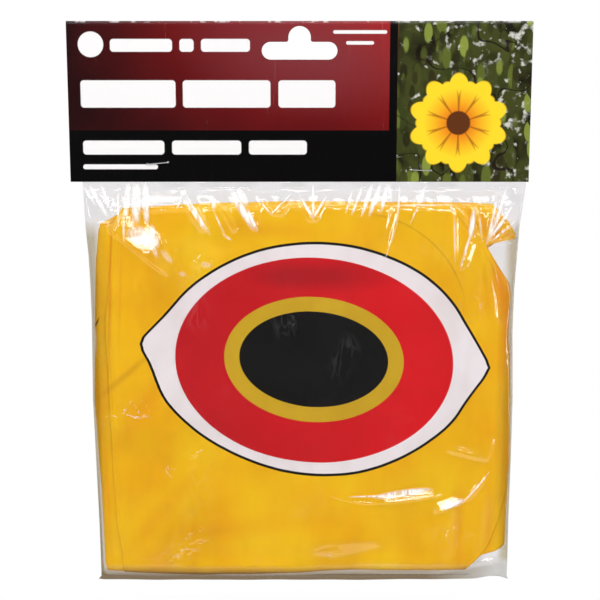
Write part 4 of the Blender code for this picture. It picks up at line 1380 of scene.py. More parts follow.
class StackRelief:
    """The soft hills, pressed folds and gathers that every layer of the stack shares."""

    hills: float = 0.00042
    fold_list: tuple[Crease, ...] = creases(
        (-76.5, -78.0, -79.0, -140.0, -0.6, 2.0), (-72.5, -79.0, -76.0, -132.0, 0.4, 3.0),
        (-69.0, -86.0, -70.0, -124.0, -0.5, 2.6), (-70.0, -172.0, -50.0, -128.0, -0.7, 4.5),
        (-79.0, -165.0, -60.0, -120.0, 0.7, 5.5), (-74.0, -215.0, -52.0, -178.0, -0.6, 5.5),
        (-66.0, -232.0, -44.0, -196.0, 0.7, 5.0), (-82.0, -228.0, -70.0, -192.0, 0.6, 3.5),
        (-60.0, -232.0, 12.0, -233.5, 0.6, 3.0), (20.0, -230.0, 70.0, -231.5, 0.6, 3.2),
        (60.0, -236.0, 65.0, -196.0, 0.5, 3.4), (69.5, -236.0, 70.5, -192.0, -0.5, 3.4),
        (77.0, -232.0, 78.5, -190.0, 0.6, 3.4), (83.8, -228.0, 85.0, -196.0, -0.6, 2.8),
        (80.0, -94.0, 88.0, -128.0, -0.9, 1.6), (78.0, -93.0, 83.5, -130.0, 0.9, 2.0),
        (77.0, -96.0, 79.0, -128.0, -0.6, 1.8), (87.2, -118.0, 86.0, -150.0, 0.7, 1.8),
        (-60.0, -84.0, -18.0, -92.0, -0.6, 5.0), (12.0, -78.0, 62.0, -94.0, -0.4, 6.5),
        (-30.0, -207.0, 30.0, -214.0, -0.5, 6.0), (-5.0, -222.0, 46.0, -218.0, 0.6, 5.5),
    )

    def __init__(self, outline: StackOutline) -> None:
        """Lay the gathers out from the notch."""
        self.noise = Noise(11)
        self.fan = Fan(outline.notch, Noise(17))
        pieces = self.arc_pieces()
        self.cap_edge = tuple(Crease(*ends, 0.00012, 0.0010, fade_share=0.05) for ends in pieces)

    def arc_pieces(self) -> list[tuple[Point, Point]]:
        """Short runs of the round edge that presses through from a pole cap behind."""
        points = arc(*VinylFinish.mark_center, VinylFinish.mark_radius, 82.0, 20.0, 8)
        return list(zip(points, points[1:]))

    def shared(self, x: Array, z: Array) -> Array:
        """Relief of every layer, outwards from the stack's front."""
        hills = self.hills * self.noise.layered(x, z, 0.034, 2)
        return hills + raised(self.fold_list, x, z) + self.fan.relief(x, z)

    def front_only(self, x: Array, z: Array) -> Array:
        """Fine relief that only the foremost sheet shows."""
        fine = 0.00008 * self.noise.layered(x + 0.3, z, 0.009, 2)
        return fine + raised(self.cap_edge, x, z)


@dataclass
class FoldedBalloon:
    """Six nested gores folded in three, replacing the plain folded sheets."""

    outline: StackOutline
    relief: StackRelief
    count: int = 6
    sheet: float = 0.0002
    inner_radius: float = 0.0006
    cap_to_tail_tip: float = 0.0140
    top_tail_drift: float = -0.0120
    bottom_tail_drift: float = 0.0300
    tail_tip_half: float = 0.0100
    bow_reach: float = 0.03
    weld_width: float = 0.0024
    weld_blur: float = 0.00035
    weld_height: float = 0.00016
    front_rows: int = 190
    rear_rows: int = 90
    tail_rows: int = 36
    front_tail_rows: int = 26
    front_columns: int = 166
    rear_columns: int = 90
    seam_columns: tuple[float, ...] = (0.0, 0.0040, 0.0062, 0.0084, 0.0112, 0.0138, 0.0162, 0.0195)
    seam_inset: float = 0.0250
    # Painted shade: deeper orange in folds and gathers, darker gold along the stack's edges, soft darker
    # bands.
    shades: tuple[ShadeAndInkPatch, ...] = ShadeAndInkPatch.rows(
        (84.8, -107.5, 2.2, 19.0, 0.17, 0.65), (86.2, -129.0, 1.8, 20.0, 0.0, 0.45),
        (80.5, -83.5, 1.0, 6.0, 0.75, 0.4), (76.5, -82.0, 1.0, 7.0, 0.20, 0.4),
        (84.5, -84.5, 0.8, 5.5, 1.15, 0.4), (-79.7, -110.0, 0.6, 33.0, -0.04, 0.50),
        (-75.2, -108.0, 0.5, 20.0, -0.05, 0.30), (-83.5, -190.0, 1.2, 40.0, 0.03, 0.30),
        (-84.0, -129.0, 3.4, 42.0, 0.0, 0.55, from_screen(206, 150, 30)),
        (86.8, -172.0, 2.2, 50.0, 0.0, 0.5, from_screen(212, 160, 32)),
        (-73.5, -145.8, 1.2, 13.0, -0.85, 0.40, from_screen(200, 132, 20)),
        (-66.0, -160.0, 4.0, 20.0, -0.60, 0.30), (-60.0, -208.0, 3.0, 18.0, -0.70, 0.26),
        (68.8, -215.0, 2.2, 17.0, 0.0, 0.22), (82.2, -212.0, 1.8, 18.0, 0.02, 0.28),
        (-30.0, -215.0, 25.0, 4.0, 0.1, 0.25), (-13.0, -83.5, 16.0, 3.0, -0.1, 0.30),
    )
    # The next eye's print where it wraps round the fold: a white sliver and a black line.
    next_eye: tuple[ShadeAndInkPatch, ...] = ShadeAndInkPatch.rows(
        (-86.6, -130.4, 0.5, 5.4, 0.0, 1.0, from_screen(240, 232, 232)),
        (-85.6, -123.5, 2.0, 0.3, 1.12, 1.0, from_screen(20, 18, 16)),
    )

    def build(self) -> None:
        """Make, dress and seat every gore."""
        eye = EyePrint()
        finishes = {
            1: VinylFinish("printed_sheet_front", eye, arc_line_and_foot_shade=True, shades=self.shades + self.next_eye),
            2: VinylFinish("printed_sheet_second", shades=self.shades + self.next_eye),
        }
        plain = VinylFinish().build()
        for number in range(1, self.count + 1):
            finish = finishes.get(number)
            material = finish.build() if finish else plain
            piece = self.gore(number)
            dress(piece, material)
            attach(piece, "pouch")
            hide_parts("gore_%d" % number)
            LOG.info("gore %d: %d faces", number, len(piece.data.polygons))

    def radii(self, number: int) -> tuple[float, float, float, float]:
        """Read one gore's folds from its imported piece.

        Args:
            number: 1 for the foremost gore.

        Returns:
            Its top fold's radius, its bottom fold's radius, and the middles of its front
            and its rear run, in y.
        """
        low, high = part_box("gore_%d" % number)
        front = low.y + self.sheet / 2
        rear = high.y - self.sheet / 2
        top_radius = self.inner_radius + (self.count - number) * self.pitch()
        return top_radius, (rear - front) / 2, front, rear

    def pitch(self) -> float:
        """Distance from one gore to the next in the stack."""
        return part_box("gore_2")[0].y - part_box("gore_1")[0].y

    def stations(self, number: int, rows: int) -> Array:
        """Places down the folded sheet: (y, z, normal y, normal z, front share, tail share).

        Args:
            number: 1 for the foremost gore.
            rows: How many places its front run has.

        Returns:
            A row for each place, from the top tail's tip to the bottom tail's.
        """
        top_radius, bottom_radius, front, rear = self.radii(number)
        low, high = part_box("gore_%d" % number)
        top_z = high.z - top_radius - self.sheet / 2
        bottom_z = low.z + bottom_radius + self.sheet / 2
        top_y = front + top_radius
        bottom_y = (front + rear) / 2
        reach_top, reach_bottom = self.tail_lengths(number)
        tail_rows = self.front_tail_rows if number == 1 else self.tail_rows
        found = []
        for share in np.linspace(1.0, 0.0, tail_rows, endpoint=False):
            found.append((top_y + top_radius, top_z - reach_top * share, 1.0, 0.0, 0.0, share))
        for angle in np.linspace(0.0, math.pi, 14, endpoint=False):
            normal = (math.cos(angle), math.sin(angle))
            place = (top_y + top_radius * normal[0], top_z + top_radius * normal[1])
            found.append((*place, *normal, smooth_step(angle / math.pi), 0.0))
        for z in np.linspace(top_z, bottom_z, rows):
            found.append((front, z, -1.0, 0.0, 1.0, 0.0))
        for angle in np.linspace(math.pi, 2 * math.pi, 16)[1:-1]:
            normal = (math.cos(angle), math.sin(angle))
            place = (bottom_y + bottom_radius * normal[0], bottom_z + bottom_radius * normal[1])
            found.append((*place, *normal, smooth_step(2 - angle / math.pi), 0.0))
        for share in np.linspace(0.0, 1.0, tail_rows):
            found.append((rear, bottom_z + reach_bottom * share, 1.0, 0.0, 0.0, -share))
        return np.array(found)

    def tail_lengths(self, number: int) -> tuple[float, float]:
        """How far the top tail hangs down and the bottom tail stands up inside the pack."""
        top_radius, bottom_radius, _, _ = self.radii(number)
        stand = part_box("bottom_cap")[0].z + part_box("bottom_cap")[1].z
        bottom_tip = stand / 2 + self.cap_to_tail_tip
        top_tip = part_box("top_cap")[0].z
        low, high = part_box("gore_%d" % number)
        inset = (number - 1) * self.pitch()
        top = high.z - top_radius - top_tip + math.pi * inset
        bottom = bottom_tip - low.z - bottom_radius + math.pi * inset
        return top, bottom

    def gore(self, number: int) -> bpy.types.Object:
        """Build one gore as a thickened sheet along its folded path.

        Args:
            number: 1 for the foremost gore.

        Returns:
            The new sheet.
        """
        front = number == 1
        stations = self.stations(number, self.front_rows if front else self.rear_rows)
        y, z, normal_y, normal_z, on_front, tail = (column[:, None] for column in stations.T)
        left, right = self.outline.edges(z, front)
        narrow = np.abs(tail) ** 2.4
        drift = np.where(tail > 0, self.top_tail_drift, self.bottom_tail_drift) * np.abs(tail)
        middle = (left + right) / 2 * (1 - np.abs(tail)) + drift
        half = (right - left) / 2 * (1 - narrow) ** 0.8 + self.tail_tip_half * narrow
        left = np.maximum(left, middle - half)
        right = np.minimum(right, middle + half)
        x = left + (right - left) * self.columns(front)[None, :]
        z = z + self.fold_shift(x, z)
        lift = self.relief.shared(x, z)
        if front:
            lift = lift + self.relief.front_only(x, z) + self.weld_lines(x, left, right)
        lift = lift * on_front
        points = np.stack([x, y + normal_y * lift + 0 * x, z + normal_z * lift], axis=-1)
        piece = grid_object("gore_sheet_%d" % number, points)
        thicken(piece, self.sheet)
        settle(piece)
        return piece

    def columns(self, front: bool) -> Array:
        """Shares across a gore; the foremost one's are crowded at its welded sides."""
        if not front:
            return np.linspace(0.0, 1.0, self.rear_columns)
        return crowded(self.seam_columns, self.seam_inset, self.front_columns)

    def fold_shift(self, x: Array, z: Array) -> Array:
        """Bow the top and bottom folds, easing out towards the sheet's middle."""
        low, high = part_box("gore_1")
        near_top = smooth_step((z - (high.z - self.bow_reach)) / self.bow_reach)
        near_bottom = smooth_step(((low.z + self.bow_reach) - z) / self.bow_reach)
        top = read_table(self.outline.top_shift, x)
        bottom = read_table(self.outline.bottom_shift, x)
        return near_top * top + near_bottom * bottom

    def weld_lines(self, x: Array, left: Array, right: Array) -> Array:
        """Two pressed lines along each welded side."""
        lines = np.zeros_like(x)
        for share in (0.45, 1.0):
            inset = self.weld_width * share
            for away in (x - left, right - x):
                lines = lines - self.weld_height * bell(away - inset, self.weld_blur)
        return lines


@dataclass
class FilmBag:
    """The clear bag: one film from the lip in the header, over the bend and down to its weld."""

    pack: PackFrame
    outline: StackOutline
    left_weld: Table = in_metres((
        (-18.0, -90.5), (-65.0, -90.4), (-83.8, -89.7), (-95.3, -88.8), (-107.2, -88.4),
        (-123.2, -88.2), (-158.0, -88.7), (-185.0, -88.1), (-213.6, -87.4), (-233.0, -87.2),
        (-238.9, -87.2), (-240.4, -88.4),
    ))
    right_weld: Table = in_metres((
        (-18.0, 94.4), (-65.0, 94.4), (-83.8, 92.1), (-98.3, 91.3), (-110.2, 90.7), (-127.5, 90.5),
        (-158.0, 91.4), (-185.0, 91.4), (-212.2, 91.1), (-233.0, 91.2), (-238.9, 91.1), (-240.4, 91.8),
    ))
    front_depth: Table = in_metres((
        (-64.0, 0.12), (-66.5, 0.13), (-66.7, 0.2), (-70.0, 2.3), (-72.0, 3.56), (-73.7, 4.66),
        (-74.3, 4.9), (-75.3, 5.16), (-76.5, 5.36), (-79.0, 5.56), (-83.0, 5.66), (-90.0, 5.6),
        (-100.0, 5.35), (-231.0, 5.3), (-234.5, 4.92), (-236.2, 4.3), (-237.6, 3.1), (-238.5, 1.7),
        (-238.9, 0.2), (-241.0, 0.06),
    ))
    back_depth: Table = in_metres((
        (-64.0, 0.12), (-66.6, 0.14), (-67.6, 0.5), (-73.4, 3.3), (-81.0, 4.2), (-92.0, 5.0),
        (-103.0, 6.4), (-230.0, 6.5), (-234.5, 5.0), (-237.2, 2.6), (-238.9, 0.1), (-241.0, 0.06),
    ))
    bottom_line: Table = in_metres((
        (-90.0, -239.8), (-85.0, -240.3), (0.0, -240.5), (74.9, -240.0), (86.2, -238.4), (89.0, -239.2),
        (92.0, -240.2),
    ))
    weld: float = 0.0008
    weld_bottom: float = -0.2389
    fin_gap: float = 0.00004
    slack: float = 0.7
    neck_foot: float = -0.0750
    neck_spare: float = 0.10
    bend_half: float = 0.0018
    seam_columns: tuple[float, ...] = (
        0.0, 0.0022, 0.0044, 0.0050, 0.0062, 0.0080, 0.0108, 0.0145, 0.0200, 0.0280,
    )
    seam_inset: float = 0.0370
    front_columns: int = 240
    back_columns: int = 70
    foot: float = -0.2405
    ears: float = 0.2402

    def build(self) -> None:
        """Make the film."""
        piece = self.film()
        dress(piece, FilmFinish().build())
        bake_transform(piece)
        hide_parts("bag_lip", "bag_pouch")
        LOG.info("film bag: %d faces", len(piece.data.polygons))

    def rows(self) -> Array:
        """Heights of the film's rows, close together where it bends or crinkles."""
        ends = (-0.0640, -0.0680, -0.0800, -0.1060, -0.1560, -0.1955, -0.2095, -0.2280, self.weld_bottom)
        counts = (8, 12, 40, 50, 34, 44, 46, 18, 22)
        starts = (self.pack.lip_high.z, *ends)
        parts = [np.linspace(*run, endpoint=False) for run in zip(starts, ends, counts)]
        return np.concatenate([*parts, np.linspace(self.weld_bottom, self.foot, 4)])

    def place(self, share: Array, z: Array) -> tuple[Array, Array, Array]:
        """Turn shares across into places, with the two side edges."""
        left = read_table(self.left_weld, z, smooth=False)
        right = read_table(self.right_weld, z, smooth=False)
        return left + (right - left) * share, left, right

    def fill(self, x: Array, z: Array, left: Array, right: Array) -> Array:
        """1 over the stack, running down to 0 at the welds where the bag is empty."""
        inside = np.minimum(x - left, right - x) - self.weld
        inside = np.minimum(inside, z - self.weld_bottom)
        inside = np.maximum(inside, 0.0)
        stack_left, stack_right = self.outline.edges(z, False)
        stack_low = self.outline.bottom(x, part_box("gore_1")[0].z)
        outside = np.maximum(stack_left - x, x - stack_right)
        outside = np.maximum(np.maximum(outside, stack_low - z), 0.0)
        return (inside / (inside + outside + 0.00006)) ** self.slack

    def film(self) -> bpy.types.Object:
        """Both skins as one closed band of rows, ended by the bottom fin."""
        z = self.rows()[:, None]
        front_share = crowded(self.seam_columns, self.seam_inset, self.front_columns)[None, :]
        back_share = crowded(self.seam_columns, self.seam_inset, self.back_columns)[None, ::-1]
        relief = FilmRelief(self.outline)
        stack = StackRelief(self.outline)
        skins = []
        for side, share in ((-1, front_share), (1, back_share)):
            x, left, right = self.place(share, z)
            flat_z = z + 0 * x
            fill = self.fill(x, flat_z, left, right)
            depth = read_table(self.front_depth if side < 0 else self.back_depth, flat_z)
            if side > 0:
                depth = depth + relief.valve_bulge(x, flat_z)
                wave = relief.back(x, flat_z)
            else:
                neck = smooth_step((flat_z - self.neck_foot) / 0.0015)
                depth = depth * (1 + self.neck_spare * neck * relief.slump(x))
                wave = relief.front(x, flat_z)
                hills = np.maximum(stack.shared(x, flat_z) + stack.front_only(x, flat_z), 0.0)
                wave = np.maximum(wave, hills) + 0.5 * np.minimum(wave, hills)
            y = side * (self.fin_gap + depth * fill + wave * fill)
            y = np.where(flat_z > self.pack.card_low.z, side * self.pack.lip_high.y, y)
            y = y + relief.fin(x, flat_z, self.weld_bottom)
            skins.append(np.stack([x, y, flat_z + self.drop(x, flat_z)], axis=-1))
        points = np.concatenate(skins, axis=1)
        return grid_object("film_bag", points[:, ::-1], closed=True)

    def drop(self, x: Array, z: Array) -> Array:
        """Move the last rows to the bag's real bottom line, with its ears."""
        share = np.clip((self.weld_bottom - z) / (self.weld_bottom - self.foot), 0.0, 1.0)
        return share * (read_table(self.bottom_line, x) + self.ears)


class FilmRelief:
    """Pleats, stretched creases and crinkles of the two films."""

    folds: tuple[Crease, ...] = creases(
        (-80.0, -81.5, -52.0, -105.2, 4.0, 11.3, LEDGE, 0.0004, 0.10, 0.45),
        (-50.5, -68.0, -38.8, -84.8, 1.4, 1.8, ROUND, 0.0, 0.15),
        (-46.2, -69.0, -38.2, -84.2, 1.1, 1.4, ROUND, 0.0, 0.15),
        (-34.5, -69.0, -26.2, -85.2, 1.2, 1.5, ROUND, 0.0, 0.15),
        (-48.0, -98.5, -33.5, -96.0, 0.9, 3.0), (-56.0, -94.0, -60.0, -80.0, 0.5, 1.2),
        (-52.0, -96.0, -53.5, -83.0, 0.5, 1.0), (-84.0, -66.6, -81.2, -76.5, 0.9, 1.6),
        (-80.0, -66.6, -79.0, -77.5, 1.0, 1.8), (-76.9, -68.0, -77.1, -84.0, 0.7, 1.4),
        (-74.8, -69.0, -75.0, -85.0, 0.6, 1.2),
        (-69.0, -66.4, -70.0, -86.0, 1.7, 3.4, ROUND, 0.0, 0.22),
        (-28.4, -68.0, -18.1, -85.0, 1.7, 6.6, LEDGE, 0.0, 0.25),
        (-15.5, -69.0, -9.4, -78.2, 1.2, 1.6, ROUND, 0.0, 0.2),
        (-3.0, -69.0, -9.4, -78.2, 1.2, 1.6, ROUND, 0.0, 0.2),
        (-0.5, -69.0, 5.6, -80.8, 1.2, 1.6, ROUND, 0.0, 0.2),
        (11.5, -69.0, 5.6, -80.8, 1.2, 1.6, ROUND, 0.0, 0.2), (16.7, -67.0, 21.2, -78.5, 0.8, 1.5),
        (21.0, -67.0, 24.0, -79.0, 0.9, 1.6), (26.5, -67.0, 26.4, -78.5, 0.8, 1.4),
        (31.2, -67.0, 28.2, -78.0, 0.8, 1.5), (40.5, -67.6, 34.5, -96.5, 0.8, 1.5),
        (47.0, -67.0, 46.2, -80.0, 0.7, 1.4), (54.8, -67.0, 56.0, -79.0, 0.7, 1.4),
        (64.3, -66.8, 64.9, -100.0, 0.7, 1.3), (72.9, -74.5, 71.6, -88.5, 0.75, 2.9, LEDGE, 0.0, 0.2),
        (71.8, -86.8, 66.8, -101.2, 0.85, 3.1, LEDGE, 0.0004, 0.2),
        (77.0, -74.0, 76.8, -89.0, 0.5, 1.1), (79.0, -88.5, 81.2, -73.5, 0.9, 1.6, ROUND, 0.0, 0.2),
        (79.6, -89.0, 84.6, -76.5, 0.9, 1.6, ROUND, 0.0, 0.2),
        (80.0, -89.3, 87.5, -79.5, 0.9, 1.5, ROUND, 0.0, 0.2),
        (80.6, -89.6, 90.0, -83.2, 0.7, 1.4, ROUND, 0.0, 0.2),
        (10.0, -198.2, 34.5, -203.8, 0.56, 1.4, LEDGE, -0.0016, 0.3, 0.2),
        (27.0, -203.0, 62.5, -199.0, 1.4, 3.4, LEDGE, -0.0014, 0.3, 0.15),
        (58.0, -208.0, 71.2, -201.0, 2.0, 4.5, LEDGE, -0.0004, 0.22, 0.3),
        (69.0, -203.0, 79.5, -188.5, 1.1, 1.5, ROUND, -0.0018),
        (61.0, -178.5, 81.5, -184.2, 1.6, 4.6, LEDGE), (80.0, -186.0, 82.6, -170.0, 0.6, 1.6),
        (-45.0, -236.2, 10.0, -236.6, 0.9, 1.4), (25.0, -235.2, 70.0, -236.0, 1.0, 1.5),
        (74.0, -233.0, 90.0, -229.0, 1.4, 2.2),
    )
    crumples: tuple[Area, ...] = Area.rows(
        (-56.0, -188.0, 2.2, 3.2), (-45.0, -180.2, 3.0, 2.2, 0.6), (-48.0, -222.5, 11.0, 4.2, 0.75),
        (-74.0, -164.0, 9.0, 5.0, 0.3), (13.0, -225.8, 4.2, 1.4), (73.7, -116.5, 5.0, 5.5),
        (-3.3, -122.2, 2.2, 1.8), (83.0, -79.5, 6.0, 6.5), (-76.0, -74.5, 7.0, 5.5),
        (88.0, -233.0, 6.0, 5.0),
    )

    cap_rise: float = 0.0018
    tent_above: float = 0.009
    tent_below: float = 0.004
    flat_back: float = 0.0074
    fold_count: int = 11
    fin_wave: float = 0.0005
    fin_ease: float = 0.004

    def __init__(self, outline: StackOutline) -> None:
        """Lay the gathers out from the notch."""
        self.noise = Noise(23)
        self.fine = Noise(31)
        self.fan = Fan(outline.notch, Noise(41), 0.24, 0.55, 0.024)

    def slump(self, x: Array) -> Array:
        """How far the neck's film sags forward at each place across, 0 to 1."""
        return np.clip(0.3 + 0.9 * self.noise.plain(x, 0 * x, 0.013), 0.0, 1.0)

    def pleats(self, x: Array, z: Array) -> Array:
        """Low upright pleats below the header, fading as the film meets the stack."""
        lean = x + 0.16 * (z + 0.066) * np.sin(x * 46.0)
        line = self.noise.layered(lean, z * 0.12, 0.0088, 2)
        rise = np.clip((-0.0664 - z) / 0.0075, 0.0, 1.0)
        fall = smooth_step((z + 0.0850) / 0.014)
        return 0.0009 * line * rise * fall

    def crinkles(self, x: Array, z: Array) -> Array:
        """Soft waves all over and fine sharp creases in the crumpled patches."""
        waves = 0.00016 * self.fine.layered(x, z, 0.026, 2)
        spots = np.zeros_like(x)
        for spot in self.crumples:
            cosine, sine = math.cos(spot.turn), math.sin(spot.turn)
            across = ((x - spot.x) * cosine + (z - spot.z) * sine) / spot.half_x
            up = ((z - spot.z) * cosine - (x - spot.x) * sine) / spot.half_z
            away = np.hypot(across, up)
            spots = np.maximum(spots, bell(away, 1.0))
        edge = 0.3 * smooth_step((np.abs(x) - 0.078) / 0.01)
        sharp = self.fine.ridged(x + 0.2 * z, z, 0.0056, 2)
        below_neck = smooth_step((-0.0668 - z) / 0.004)
        return (waves + np.maximum(0.0005 * spots, 0.0007 * edge) * sharp) * below_neck

    def front(self, x: Array, z: Array) -> Array:
        """Everything that stands proud on the front film."""
        big = raised(self.folds, x, z) + np.maximum(self.fan.relief(x, z), -0.0002)
        return big + self.pleats(x, z) + self.crinkles(x, z)

    def back(self, x: Array, z: Array) -> Array:
        """The same for the back film, which no photograph shows, with folds round the valve."""
        return self.pleats(-x, z) + 1.4 * self.crinkles(-x, z) + self.valve_folds(x, z)

    def valve_bulge(self, x: Array, z: Array) -> Array:
        """How far the back film stands out over the bottom cap and tents over its valve.

        Args:
            x: Places across.
            z: Places up.

        Returns:
            The height at each place.
        """
        cap_low, cap_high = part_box("bottom_cap")
        plug_low, plug_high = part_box("valve_plug")
        tether_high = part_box("valve_tether")[1]
        middle_x, middle_z = (cap_low.x + cap_high.x) / 2, (cap_low.z + cap_high.z) / 2
        away = np.hypot(x - middle_x, z - middle_z) / (cap_high.x - middle_x)
        cap = self.cap_rise * (1 - smooth_step((away - 1) / 0.5))
        reach_x = (tether_high.x - plug_low.x) / 2
        reach_z = (plug_high.z + self.tent_above - middle_z + self.tent_below) / 2
        patch_x = (tether_high.x + plug_low.x) / 2
        patch_z = middle_z - self.tent_below + reach_z
        far = np.maximum(np.abs(x - patch_x) / reach_x, np.abs(z - patch_z) / reach_z)
        square = np.hypot(x - patch_x, z - patch_z) / math.hypot(reach_x, reach_z)
        far = 0.5 * far + 0.5 * square
        rise = plug_high.y - self.flat_back
        return cap + rise * (1 - smooth_step((far - 0.85) / 1.5))

    def valve_folds(self, x: Array, z: Array) -> Array:
        """Creases that run out from the foot of the valve's tent."""
        plug_low, plug_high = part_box("valve_plug")
        middle = ((plug_low.x + plug_high.x) / 2, plug_low.z)
        folds = []
        for turn in range(self.fold_count):
            angle = 2 * math.pi * turn / self.fold_count + 0.3
            start = (middle[0] + 0.010 * math.cos(angle), middle[1] + 0.013 * math.sin(angle))
            reach = 0.034 + 0.010 * math.sin(5 * angle)
            end = (middle[0] + reach * math.cos(angle), middle[1] + reach * math.sin(angle))
            folds.append(Crease(start, end, 0.0012, 0.0016, SHARP))
        return raised(tuple(folds), x, z)

    def fin(self, x: Array, z: Array, weld_z: float) -> Array:
        """A wavy bottom fin."""
        amount = smooth_step((weld_z + self.fin_ease - z) / self.fin_ease)
        return self.fin_wave * amount * self.noise.plain(x, 0 * z, 0.018)


@dataclass
class HeaderCard:
    """One board folded over at its crease, printed outside and bare inside."""

    pack: PackFrame
    board: float = 0.00045
    slot_width: float = 0.031
    slot_band: float = 0.0072
    hump_width: float = 0.0092
    hump_rise: float = 0.0064
    fillet: float = 0.0009
    wire_radius: float = 0.00025
    wire_room: float = 0.0002
    punch_reach: float = 0.004
    wave: float = 0.00012
    columns: int = 150
    panel_rows: int = 52

    def build(self) -> None:
        """Make the card, punch it and seat it."""
        piece = self.folded_board()
        dress(piece, CardFinish().build(), BoardFinish().build())
        thicken(piece, self.board, side_slot=1)
        cutter = self.punch()
        modifier = piece.modifiers.new("punch", "BOOLEAN")
        modifier.operation = "DIFFERENCE"
        modifier.object = cutter
        settle(piece)
        cut_mesh = cutter.data
        bpy.data.objects.remove(cutter)
        bpy.data.meshes.remove(cut_mesh)
        piece.data.shade_smooth()
        piece.data.set_sharp_from_angle(angle=math.radians(35))
        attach(piece, "header")
        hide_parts("header_card")
        LOG.info("header card: %d faces", len(piece.data.polygons))

    def folded_board(self) -> bpy.types.Object:
        """The board's middle sheet, from the front's lower edge over the crease to the back's."""
        low, high = self.pack.card_low, self.pack.card_high
        radius = high.y - self.board / 2
        crease_z = high.z - high.y
        path = [(-radius, z) for z in np.linspace(low.z, crease_z, self.panel_rows, endpoint=False)]
        for angle in np.linspace(math.pi, 0.0, 12, endpoint=False):
            path.append((radius * math.cos(angle), crease_z + radius * math.sin(angle)))
        path += [(radius, z) for z in np.linspace(crease_z, low.z, self.panel_rows)]
        y, z = (np.array(values)[:, None] for values in zip(*path))
        x = np.linspace(low.x, high.x, self.columns)[None, :]
        noise = Noise(5)
        free = smooth_step((crease_z - z) / 0.02)
        bow = self.wave * noise.layered(x + 0 * z, z + 0 * x, 0.045, 2) * free
        points = np.stack([x + 0 * z, y + bow, z + 0 * x], axis=-1)
        return grid_object("header_board", points)

    def punch(self) -> bpy.types.Object:
        """A hidden block of the slot's shape and the four staple holes."""
        shape = bmesh.new()
        self.add_block(shape, self.slot_outline())
        wire = self.wire_radius
        for name in ("staple_left", "staple_right"):
            low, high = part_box(name)
            slope = self.staple_slope(name)
            for x in (low.x + wire, high.x - wire):
                middle_z = (low.z + high.z) / 2 + slope * (x - (low.x + high.x) / 2)
                self.add_block(shape, arc(x, middle_z, wire + self.wire_room, 0, 330, 11))
        bmesh.ops.recalc_face_normals(shape, faces=shape.faces)
        mesh = bpy.data.meshes.new("punch")
        shape.to_mesh(mesh)
        shape.free()
        for polygon in mesh.polygons:
            polygon.material_index = 1
        cutter = new_object("punch", mesh)
        cutter.hide_render = True
        return cutter

    def staple_slope(self, name: str) -> float:
        """Rise over run of a staple's crown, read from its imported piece."""
        co = np.array([v.co for v in self.pack.node(name).data.vertices])
        front = co[co[:, 1] < 0]
        return float(np.polyfit(front[:, 0], front[:, 2], 1)[0])

    def add_block(self, shape: bmesh.types.BMesh, outline: list[Point]) -> None:
        """Extrude an outline right through the card."""
        near = [shape.verts.new((x, -self.punch_reach, z)) for x, z in outline]
        far = [shape.verts.new((x, self.punch_reach, z)) for x, z in outline]
        shape.faces.new(near)
        shape.faces.new(list(reversed(far)))
        for i, start in enumerate(near):
            j = (i + 1) % len(near)
            shape.faces.new((start, far[i], far[j], near[j]))

    def slot_outline(self) -> list[Point]:
        """A band with round ends and a round hump above its middle."""
        end = self.slot_band / 2
        end_x = self.slot_width / 2 - end
        top = -self.hump_rise
        hump = self.hump_width / 2
        outline = arc(end_x, top - end, end, -90, 90, 12)
        outline += arc(hump + self.fillet, top + self.fillet, self.fillet, -90, -180, 5)
        outline += arc(0.0, -hump, hump, 0, 180, 18)
        outline += arc(-hump - self.fillet, top + self.fillet, self.fillet, 0, -90, 5)
        outline += arc(-end_x, top - end, end, 90, 270, 12)
        return outline


@dataclass
class SmallParts:
    """Staples, pole caps, tab and valve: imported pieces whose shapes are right, newly finished."""

    pack: PackFrame

    def build(self) -> None:
        """Give each piece its finish."""
        finishes = (
            (StapleFinish(), ("staple_left", "staple_right")),
            (MilkyFinish(), ("valve_stem", "valve_flap", "valve_tether", "valve_plug")),
            (VinylFinish("cap_sheet"), ("top_cap", "hang_tab", "bottom_cap")),
        )
        for finish, names in finishes:
            material = finish.build()
            for name in names:
                dress(self.pack.node(name), material)
                LOG.info("%s: %s", name, material.name)


@dataclass
class Lamp:
    """A soft rectangular lamp that looks at the pack's middle."""

    name: str
    elevation: float
    azimuth: float
    distance: float
    width: float
    height: float
    power: float

    def build(self, target: Vector) -> None:
        """Place the lamp round a target."""
        data = bpy.data.lights.new(self.name, "AREA")
        data.shape = "RECTANGLE"
        data.size = self.width
        data.size_y = self.height
        data.energy = self.power
        lamp = new_object(self.name, data)
        lamp.visible_camera = False
        aim(lamp, target, self.elevation, self.azimuth, self.distance)


